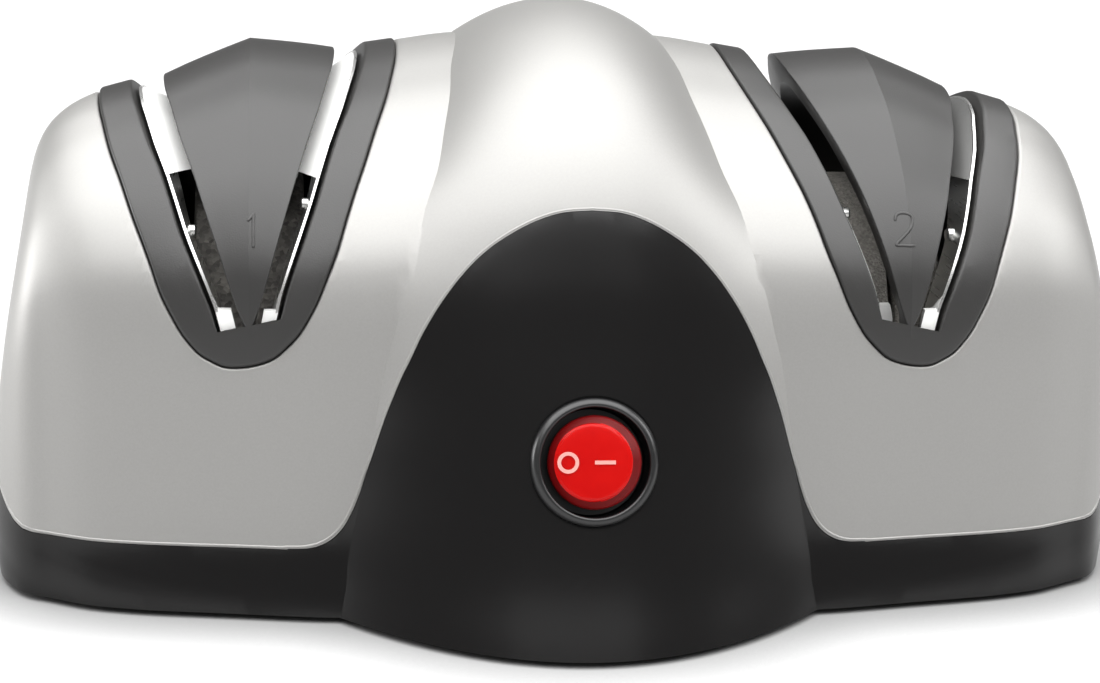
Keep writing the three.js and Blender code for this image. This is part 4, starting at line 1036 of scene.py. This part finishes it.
def rivet_head(form, side, gap, top):
    """The head of the rivet on the inner face of a spring plate."""
    s = form.s
    depth = max(s.rivet_depth, top + s.rivet_inset)
    angle = form.angle_at(s.rivet_height, True)
    high, deep = form.slot_widths(angle)
    width = high + (deep - high) * form.depth_share(depth) - gap - s.plate_thickness
    at = (Matrix.Translation(form.wing(form.module + side * width, angle, depth))
          @ Matrix.Rotation(side * math.pi / 2, 4, "Y"))
    r = s.rivet_radius
    return turned("rivet", [(0, 0.4 * MM), (r, 0.4 * MM), (r, -0.7 * MM), (0.75 * r, -1.05 * MM),
                            (0, -1.1 * MM)], 32, at)


def spring_plate(form, side, gap, top, leaf_top, lean):
    """A spring plate with its tab and its rivet head, and its leaf."""
    s = form.s
    low = s.slot_bottom + s.plate_gap
    outer, inner = -side * gap, -side * (gap + s.plate_thickness)
    # Tab and leaf start a little inside the plate
    within = outer - side * OVERLAP
    plate = strip(form, "plate", low, [(side, inner, s.plate_depth), (side, inner, top),
                                       (side, outer, top), (side, outer, s.plate_depth)])
    edge = inner - side * s.tab_width
    tab = strip(form, "tab", low + OVERLAP, [
        (side, edge, top + s.tab_depth), (side, edge, top + OVERLAP),
        (side, within, top + OVERLAP), (side, within, top + s.tab_depth)])
    carve(tab, slab("near", 0, low + s.tab_height, 0), "INTERSECT")
    carve(plate, tab, "UNION")
    shift, leaf_low = -side * lean, max(s.leaf_depth, leaf_top + MM)
    leaf = strip(form, "leaf", low + OVERLAP, [
        (side, inner + shift, leaf_low), (side, inner + side * OVERLAP, leaf_top),
        (side, within, leaf_top), (side, outer + shift, leaf_low)])
    carve(leaf, slab("above", s.leaf_bottom, start=0), "INTERSECT")
    carve(plate, rivet_head(form, side, gap, top), "UNION")
    return plate, leaf


# Operators


class SHARPENER_OT_housing(bpy.types.Operator):
    """Make the silver shell and the black base with its nose"""

    bl_idname = "sharpener.housing"
    bl_label = "Housing"

    def execute(self, context):
        form = Form()
        s = form.s
        outer = outer_body(form)
        hollow = outer_body(form, s.wall, 0.5)

        shell = link("silver_shell", bmesh_of(outer))
        carve(shell, hollow, keep=True)
        carve(shell, base_zone(form, s.seam))
        gap, rim = s.guide_gap, s.rim
        edge = [(gap, CUT_DEPTH)] + [(gap + a * rim, b * rim) for a, b in RIM_EDGE]
        edge += [(gap + rim, -0.01 * MM), (gap + rim + FLARE, -MM)]
        cutter = vee(form, "pocket", "guide", around(edge))
        other = mirrored(cutter, "other_pocket")
        carve(shell, cutter)
        carve(shell, other)
        dress(smooth(shell), finish("silver"), "housing", "silver_shell", "upper_housing")

        base = link("black_base", bmesh_of(outer))
        carve(base, base_zone(form, 0.0), "INTERSECT")
        carve(base, slab("above", s.foot_lift), "INTERSECT")
        room = slab("room", s.foot_lift + s.floor)
        carve(room, hollow, "INTERSECT")
        carve(base, room)
        self.drill(form, base)
        dress(smooth(base), finish("black"), "housing", "black_base", "base_housing")
        dress(seam_edge(form, outer), finish("silver"), "housing", "silver_shell")
        bpy.data.objects.remove(outer)
        return {"FINISHED"}

    def drill(self, form, base):
        """Cuts the seats of the switch, the feet and the cord inlet."""
        s = form.s
        gap, at = s.clearance, switch_place(form)
        for radius, low in ((s.bezel_radius + gap, -1.1 * MM), (s.switch_hole, -10 * MM)):
            carve(base, hole(radius, low, SPARE, at, 72))
        for _, low, high, at in foot_places():
            carve(base, hole((high.y - low.y) / 2 + gap, -SPARE, high.z + gap, at))
        low, high, at = inlet_place()
        for radius, start in ((s.inlet_neck, low.y), (s.inlet_collar, high.y - s.inlet_step - gap)):
            carve(base, hole(radius + gap, start, FAR_Y, at))


class SHARPENER_OT_guides(bpy.types.Operator):
    """Make the V guides with their wedges and numbers"""

    bl_idname = "sharpener.guides"
    bl_label = "V guides"

    def execute(self, context):
        form = Form()
        s = form.s
        e, proud = s.edge, s.guide_proud
        rounded = [(a * e, b * e - proud) for a, b in GUIDE_EDGE]
        guide = vee(form, "guide", "guide", around([(0, s.guide_depth)] + rounded))
        slots = [(0, CUT_DEPTH)] + [(-a, b) for a, b in rounded[:-1]]
        slots += [(e, -proud - 0.01 * MM), (e + FLARE, -proud - MM)]
        carve(guide, vee(form, "slots", "slot", around(slots)))
        low = s.slot_bottom - (s.slot_bottom - s.guide_bottom) / 3
        loop = around([(0, s.wedge_thickness)] + rounded, RIDGE_ACROSS, 1)
        wedge = vee(form, "wedge", "wedge", loop, crown=s.wedge_crown, bottom=low)
        carve(guide, wedge, "UNION")
        smooth(guide, 13)
        other = mirrored(guide, "guide_left")
        smooth(other, 13)
        guide.name = "guide_right"
        for piece, points, x, z, name in (
            (guide, NUMBER_TWO, form.module - MM, s.number_centre + 0.8 * MM, "number_two"),
            (other, NUMBER_ONE, 0.6 * MM - form.module, s.number_centre, "number_one"),
        ):
            number = self.number(form, piece, points, x, z, name)
            dress(number, finish("grey"), "housing", "grey_guide")
        dress(guide, finish("grey"), "housing", "grey_guide", "guide_fine")
        dress(other, finish("grey"), "housing", "grey_guide", "guide_coarse")
        return {"FINISHED"}

    def number(self, form, piece, points, x, z, name):
        """A raised number on the wedge, as a round strip along a line of points."""
        s = form.s
        last, sides = 48, 12
        tree = BVHTree.FromObject(piece, bpy.context.evaluated_depsgraph_get())
        corners = [Vector(p) for p in points]
        spots = []
        for i in range(last + 1):
            p = spline(corners, i / last)
            start = Vector((x + p.x * s.number_height, -FAR_Y, z + (p.y - 0.5) * s.number_height))
            hit, normal, _, _ = tree.ray_cast(start, Vector((0, 1, 0)))
            spots.append((hit, normal))
        rows = []
        for i, (spot, normal) in enumerate(spots):
            ahead = (spots[min(i + 1, last)][0] - spots[max(i - 1, 0)][0]).normalized()
            sideways = ahead.cross(normal).normalized()
            wide = s.number_stroke / 2 * (0.6 if i in (0, last) else 1)
            tall = wide * 0.55
            turns = (2 * math.pi * k / sides for k in range(sides))
            rows.append([spot + sideways * wide * math.cos(a) + normal * tall * math.sin(a)
                         for a in turns])
        return smooth(loft(name, rows), 60)


class SHARPENER_OT_plates(bpy.types.Operator):
    """Make the spring plates at the outer edges of the slots"""

    bl_idname = "sharpener.plates"
    bl_label = "Spring plates"

    def execute(self, context):
        form = Form()
        s = form.s
        for grade, name, side, gap, top, leaf_top, lean in (
            ("fine", "outer", 1, s.plate_gap, s.plate_inset, s.leaf_inset, s.fine_lean),
            ("fine", "inner", -1, s.inner_gap, s.inner_inset, s.inner_inset + s.inner_leaf_drop,
             s.inner_lean),
            ("coarse", "outer", 1, s.plate_gap, s.plate_inset, s.leaf_inset, s.leaf_lean),
            ("coarse", "inner", -1, s.inner_gap, s.plate_inset, s.leaf_inset, s.leaf_lean),
        ):
            plate, leaf = spring_plate(form, side, gap, top, leaf_top, lean)
            body = f"spring_plate_{grade}_{name}"
            # The outer leaf of the fine module takes the dark copy of the nickel finish as painted
            # shade; the other leaves take the near-white copy as painted highlight
            leaf_look = "dull" if body == "spring_plate_fine_outer" else "plated"
            for piece, label, look in ((plate, "plate", "steel"), (leaf, "leaf", leaf_look)):
                if grade == "coarse":
                    other = mirrored(piece, "turned_over")
                    bpy.data.objects.remove(piece)
                    piece = other
                piece.name = f"{label}_{grade}_{name}"
                smooth(piece, 30)
                even = piece.modifiers.new("even", "WEIGHTED_NORMAL")
                even.keep_sharp = True
                bake(piece)
                dress(piece, finish(look), body, "spring_steel", body)
                # The tab of the steel plate takes the near-white copy: painted highlight
                if label == "plate":
                    self.plate_tab(piece, s.slot_bottom + s.plate_gap + s.tab_height + OVERLAP)
        return {"FINISHED"}

    def plate_tab(self, piece, top):
        """Gives the tab at the bottom of a plate the near-white nickel finish, a painted highlight.
        """
        piece.data.materials.append(finish("plated"))
        for face in piece.data.polygons:
            if face.center.z < top:
                face.material_index = 1


class SHARPENER_OT_wheels(bpy.types.Operator):
    """Make the grinding wheels and finish the drive"""

    bl_idname = "sharpener.wheels"
    bl_label = "Wheels and drive"

    def execute(self, context):
        s = sizes()
        for grade in ("fine", "coarse"):
            for place in ("outer", "inner"):
                name = f"wheel_{grade}_{place}"
                low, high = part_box(name)
                r, bore, hollow = s.wheel_radius, s.wheel_bore, s.wheel_hollow
                width = high.x - low.x
                web = width - s.wheel_recess
                profile = [(bore, 0), (r - 0.3 * MM, 0), (r, 0.3 * MM), (r, width - 1.5 * MM),
                           (r - 0.4 * MM, width - 0.5 * MM), (r - 1.4 * MM, width),
                           (hollow, width), (hollow - s.wheel_recess, web), (bore, web),
                           (bore, 0)]
                # The flat sides of the two wheels of a module face each other
                to_right = (place == "outer") == (grade == "fine")
                sign, start = (1, low.x) if to_right else (-1, high.x)
                at = (Matrix.Translation((start, SHAFT_Y, SHAFT_Z))
                      @ Matrix.Rotation(sign * math.pi / 2, 4, "Y"))
                wheel = turned(f"grinding_{grade}_{place}", profile, 96, at)
                smooth(wheel, 40)
                dress(wheel, finish(grade), "drive", f"{grade}_abrasive", name)
        looks = {
            "drive_shaft": "turned", "sleeve": "turned", "spacer": "turned", "washer": "turned",
            "nut": "turned", "fan_sleeve": "turned", "bearing_bracket": "cast",
            "bearing": "bronze", "motor_stator": "iron", "motor_rotor": "iron",
            "motor_coil": "copper", "cooling_fan": "black", "switch_terminal": "brass",
        }
        for name, node_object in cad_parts.items():
            for start, look in looks.items():
                if name.startswith(start):
                    for slot in node_object.material_slots:
                        slot.material = finish(look)
                    break
        return {"FINISHED"}


class SHARPENER_OT_switch(bpy.types.Operator):
    """Make the ring, the rocker and its marks"""

    bl_idname = "sharpener.switch"
    bl_label = "Switch"

    def execute(self, context):
        form = Form()
        s = form.s
        at = switch_place(form)
        top = 1.2 * MM
        ring = turned("switch_ring", scaled(RING_PROFILE, s.bezel_radius, top), 96, at)
        dress(smooth(ring, 40), finish("ring"), "housing", "switch_grey", "switch_body")

        radius, face = s.rocker_radius, top + 0.9 * MM
        # In its off place the button is tilted by 6 degrees round a point under the ring's top
        tilt = Matrix.Translation((0, 0, -0.6 * MM)) @ Matrix.Rotation(math.radians(-6), 4, "Y")
        at = at @ tilt @ Matrix.Translation((0, 0, 0.6 * MM))

        def dip(x):
            return 0.55 * MM * (abs(x) / radius) ** 1.2

        rocker = turned("rocker", scaled(ROCKER_PROFILE, radius, face), 96)
        # The flat of the button lies a little to the side of the off mark
        for v in rocker.data.vertices:
            if v.co.z > face - 1.2 * MM:
                v.co.x -= 0.3 * MM
            if v.co.z > face - 0.5 * MM:
                v.co.z += 0.2 * MM - dip(v.co.x)
        # Faces near the rim of the button take the darker red: painted shade on its sloping side
        shaded_skirt = [p.index for p in rocker.data.polygons
                 if math.hypot(p.center.x + 0.2 * MM, p.center.y) > radius - 1.4 * MM]
        rocker.data.transform(at)
        for name, x in (("mark_off", -4.72 * MM), ("mark_on", 1.85 * MM)):
            mesh = self.mark(name)
            for v in mesh.verts:
                v.co.x += x
                v.co.z += face - 0.04 * MM - dip(v.co.x)
            bmesh.ops.transform(mesh, matrix=at, verts=mesh.verts)
            dress(smooth(link(name, mesh), 30), finish("mark"), "rocker", "red_rocker")
        dress(smooth(rocker, 50), finish("red"), "rocker", "red_rocker", "switch_rocker")
        rocker.data.materials.append(finish("shaded_skirt"))
        for i in shaded_skirt:
            rocker.data.polygons[i].material_index = 1
        return {"FINISHED"}

    def mark(self, name):
        """The flat ring of the off mark or the bar of the on mark, round the origin."""
        mesh = bmesh.new()
        if name == "mark_off":
            bmesh.ops.create_circle(mesh, segments=48, radius=1.92 * MM)
            grown = bmesh.ops.extrude_edge_only(mesh, edges=mesh.edges)["geom"]
            inner = [g for g in grown if isinstance(g, bmesh.types.BMVert)]
            bmesh.ops.scale(mesh, vec=(0.66, 0.66, 1), verts=inner)
        else:
            bmesh.ops.create_grid(mesh, x_segments=8, y_segments=1, size=1)
            bmesh.ops.scale(mesh, vec=(1.85 * MM, 0.34 * MM, 1), verts=mesh.verts)
        bmesh.ops.recalc_face_normals(mesh, faces=mesh.faces)
        grown = bmesh.ops.extrude_face_region(mesh, geom=mesh.faces[:])["geom"]
        lifted = [g for g in grown if isinstance(g, bmesh.types.BMVert)]
        bmesh.ops.translate(mesh, vec=(0, 0, 0.16 * MM), verts=lifted)
        bmesh.ops.recalc_face_normals(mesh, faces=mesh.faces)
        return mesh


class SHARPENER_OT_feet(bpy.types.Operator):
    """Make the rubber feet and the bush of the cord inlet"""

    bl_idname = "sharpener.feet"
    bl_label = "Feet and inlet"

    def execute(self, context):
        s = sizes()
        for name, low, high, at in foot_places():
            r, top = (high.y - low.y) / 2, high.z
            foot = turned(f"rubber_{name}", [
                (0, 0.3 * MM), (r * 0.62, 0.3 * MM), (r * 0.66, 0), (r - 0.9 * MM, 0),
                (r - 0.25 * MM, 0.3 * MM), (r, MM), (r, top), (0, top),
            ], 56, at)
            dress(smooth(foot, 40), finish("rubber"), "housing", "foot_rubber", name)
        low, high, at = inlet_place()
        front, back, step = low.y, high.y, high.y - s.inlet_step
        bore, neck, collar = s.inlet_bore, s.inlet_neck, s.inlet_collar
        bush = turned("inlet_bush", [
            (bore, front), (neck, front), (neck, step), (collar, step), (collar, back - 0.5 * MM),
            (collar - 0.4 * MM, back), (bore + 0.4 * MM, back), (bore, back - 0.4 * MM),
            (bore, front),
        ], 56, at)
        dress(smooth(bush, 40), finish("rubber"), "housing", "inlet_rubber", "cord_inlet")
        return {"FINISHED"}


class SHARPENER_OT_stage(bpy.types.Operator):
    """Make the floor, the lamps and the camera"""

    bl_idname = "sharpener.stage"
    bl_label = "Stage"

    def execute(self, context):
        scene = context.scene
        scene.view_settings.view_transform = "Standard"
        mesh = bmesh.new()
        bmesh.ops.create_grid(mesh, x_segments=1, y_segments=1, size=20)
        floor = link("floor", mesh)
        paper = Finish("white paper", Base_Color=tint("#D6D6D6"), Roughness=0.9)
        white_out(paper)
        floor.data.materials.append(paper.material)

        world = bpy.data.worlds.new("studio")
        scene.world = world
        world.use_nodes = True
        back = world.node_tree.nodes["Background"]
        back.inputs["Color"].default_value = tint("#FFFFFF")
        back.inputs["Strength"].default_value = 0.28

        for name, place, wide, high, power, aim in LAMPS:
            light = bpy.data.lights.new(name, "AREA")
            light.shape = "RECTANGLE"
            light.size, light.size_y, light.energy = wide, high, power
            lamp = bpy.data.objects.new(name, light)
            lamp.location = place
            lamp.rotation_euler = (Vector(aim) - Vector(place)).to_track_quat("-Z", "Y").to_euler()
            scene.collection.objects.link(lamp)

        yaw, pitch, roll = (math.radians(v) for v in CAMERA_TURN)
        ahead = Vector((math.sin(yaw) * math.cos(pitch), math.cos(yaw) * math.cos(pitch),
                        -math.sin(pitch)))
        level = Vector((math.cos(yaw), -math.sin(yaw), 0))
        above = level.cross(ahead)
        lens = bpy.data.cameras.new("camera")
        lens.sensor_width = SENSOR_WIDTH
        lens.lens = FOCAL_LENGTH / PICTURE_WIDTH * SENSOR_WIDTH
        camera = bpy.data.objects.new("camera", lens)
        matrix = Matrix.Identity(4)
        matrix.col[0][:3] = level * math.cos(roll) + above * math.sin(roll)
        matrix.col[1][:3] = above * math.cos(roll) - level * math.sin(roll)
        matrix.col[2][:3] = -ahead
        matrix.translation = Vector(CAMERA_PLACE) * MM + Vector((0, SHAFT_Y, 0))
        camera.matrix_world = matrix
        scene.collection.objects.link(camera)
        scene.camera = camera
        return {"FINISHED"}


def white_out(paper):
    """Lifts the lit floor to white for the eye, gloss and glass, and keeps the shadow."""
    tree, surface = paper.tree, paper.surface
    # The sheet is lit less far from the object, so it is lifted more there
    away = node(tree, "ShaderNodeVectorMath", [(0, paper.place, "Object")], operation="LENGTH")
    lift = node(tree, "ShaderNodeMapRange", [("Value", away, "Value")],
                From_Min=0.14, From_Max=2.0, To_Min=0.57, To_Max=1.02)
    # Close under the edges of the object the sheet gets little light, so it is lifted less
    near = node(tree, "ShaderNodeAmbientOcclusion", Distance=0.017, samples=12)
    open_share = node(tree, "ShaderNodeMath", [(0, near, "AO")], operation="POWER")
    open_share.inputs[1].default_value = 4.5
    strength = node(tree, "ShaderNodeMath", [(0, lift, "Result"), (1, open_share, "Value")],
                    operation="MULTIPLY")
    rays = node(tree, "ShaderNodeLightPath")
    seen = node(tree, "ShaderNodeMath", [(0, rays, "Is Camera Ray"), (1, rays, "Is Glossy Ray")],
                operation="MAXIMUM")
    through = node(tree, "ShaderNodeMath", [(0, seen, "Value"), (1, rays, "Is Transmission Ray")],
                   operation="MAXIMUM")
    glow = node(tree, "ShaderNodeEmission", [("Strength", strength, "Value")], Color=(1, 1, 1, 1))
    sheet = node(tree, "ShaderNodeBsdfDiffuse", Color=tint("#8A8A8A"))
    both = node(tree, "ShaderNodeAddShader", [(0, sheet, 0), (1, glow, 0)])
    mix = node(tree, "ShaderNodeMixShader", [("Fac", through, "Value"), (1, surface, 0),
                                             (2, both, 0)])
    tree.links.new(mix.outputs[0], tree.nodes["Material Output"].inputs["Surface"])


class SHARPENER_PT_panel(bpy.types.Panel):
    """Steps of the knife sharpener"""

    bl_label = "Knife sharpener"
    bl_idname = "SHARPENER_PT_panel"
    bl_space_type = "VIEW_3D"
    bl_region_type = "UI"
    bl_category = "Sharpener"

    def draw(self, context):
        for step in STEPS:
            self.layout.operator(step.bl_idname)
        for name in ("body_length", "wing_height", "dome_height", "edge"):
            self.layout.prop(context.scene.sharpener_sizes, name)
        for name in ("silver", "black", "grey", "red"):
            self.layout.prop(context.scene.sharpener_colours, name)


STEPS = (
    SHARPENER_OT_housing,
    SHARPENER_OT_guides,
    SHARPENER_OT_plates,
    SHARPENER_OT_wheels,
    SHARPENER_OT_switch,
    SHARPENER_OT_feet,
    SHARPENER_OT_stage,
)
CLASSES = (SharpenerSizes, SharpenerColours, *STEPS, SHARPENER_PT_panel)


def register():
    """Makes the classes and the properties known to Blender."""
    for item in CLASSES:
        bpy.utils.register_class(item)
    bpy.types.Scene.sharpener_sizes = PointerProperty(type=SharpenerSizes)
    bpy.types.Scene.sharpener_colours = PointerProperty(type=SharpenerColours)


def unregister():
    """Takes the properties and the classes away again."""
    del bpy.types.Scene.sharpener_colours
    del bpy.types.Scene.sharpener_sizes
    for item in reversed(CLASSES):
        bpy.utils.unregister_class(item)


def main():
    """Makes all pieces and the stage."""
    register()
    bpy.ops.sharpener.housing()
    bpy.ops.sharpener.guides()
    bpy.ops.sharpener.plates()
    bpy.ops.sharpener.wheels()
    bpy.ops.sharpener.switch()
    bpy.ops.sharpener.feet()
    bpy.ops.sharpener.stage()


if __name__ == "__main__":
    main()
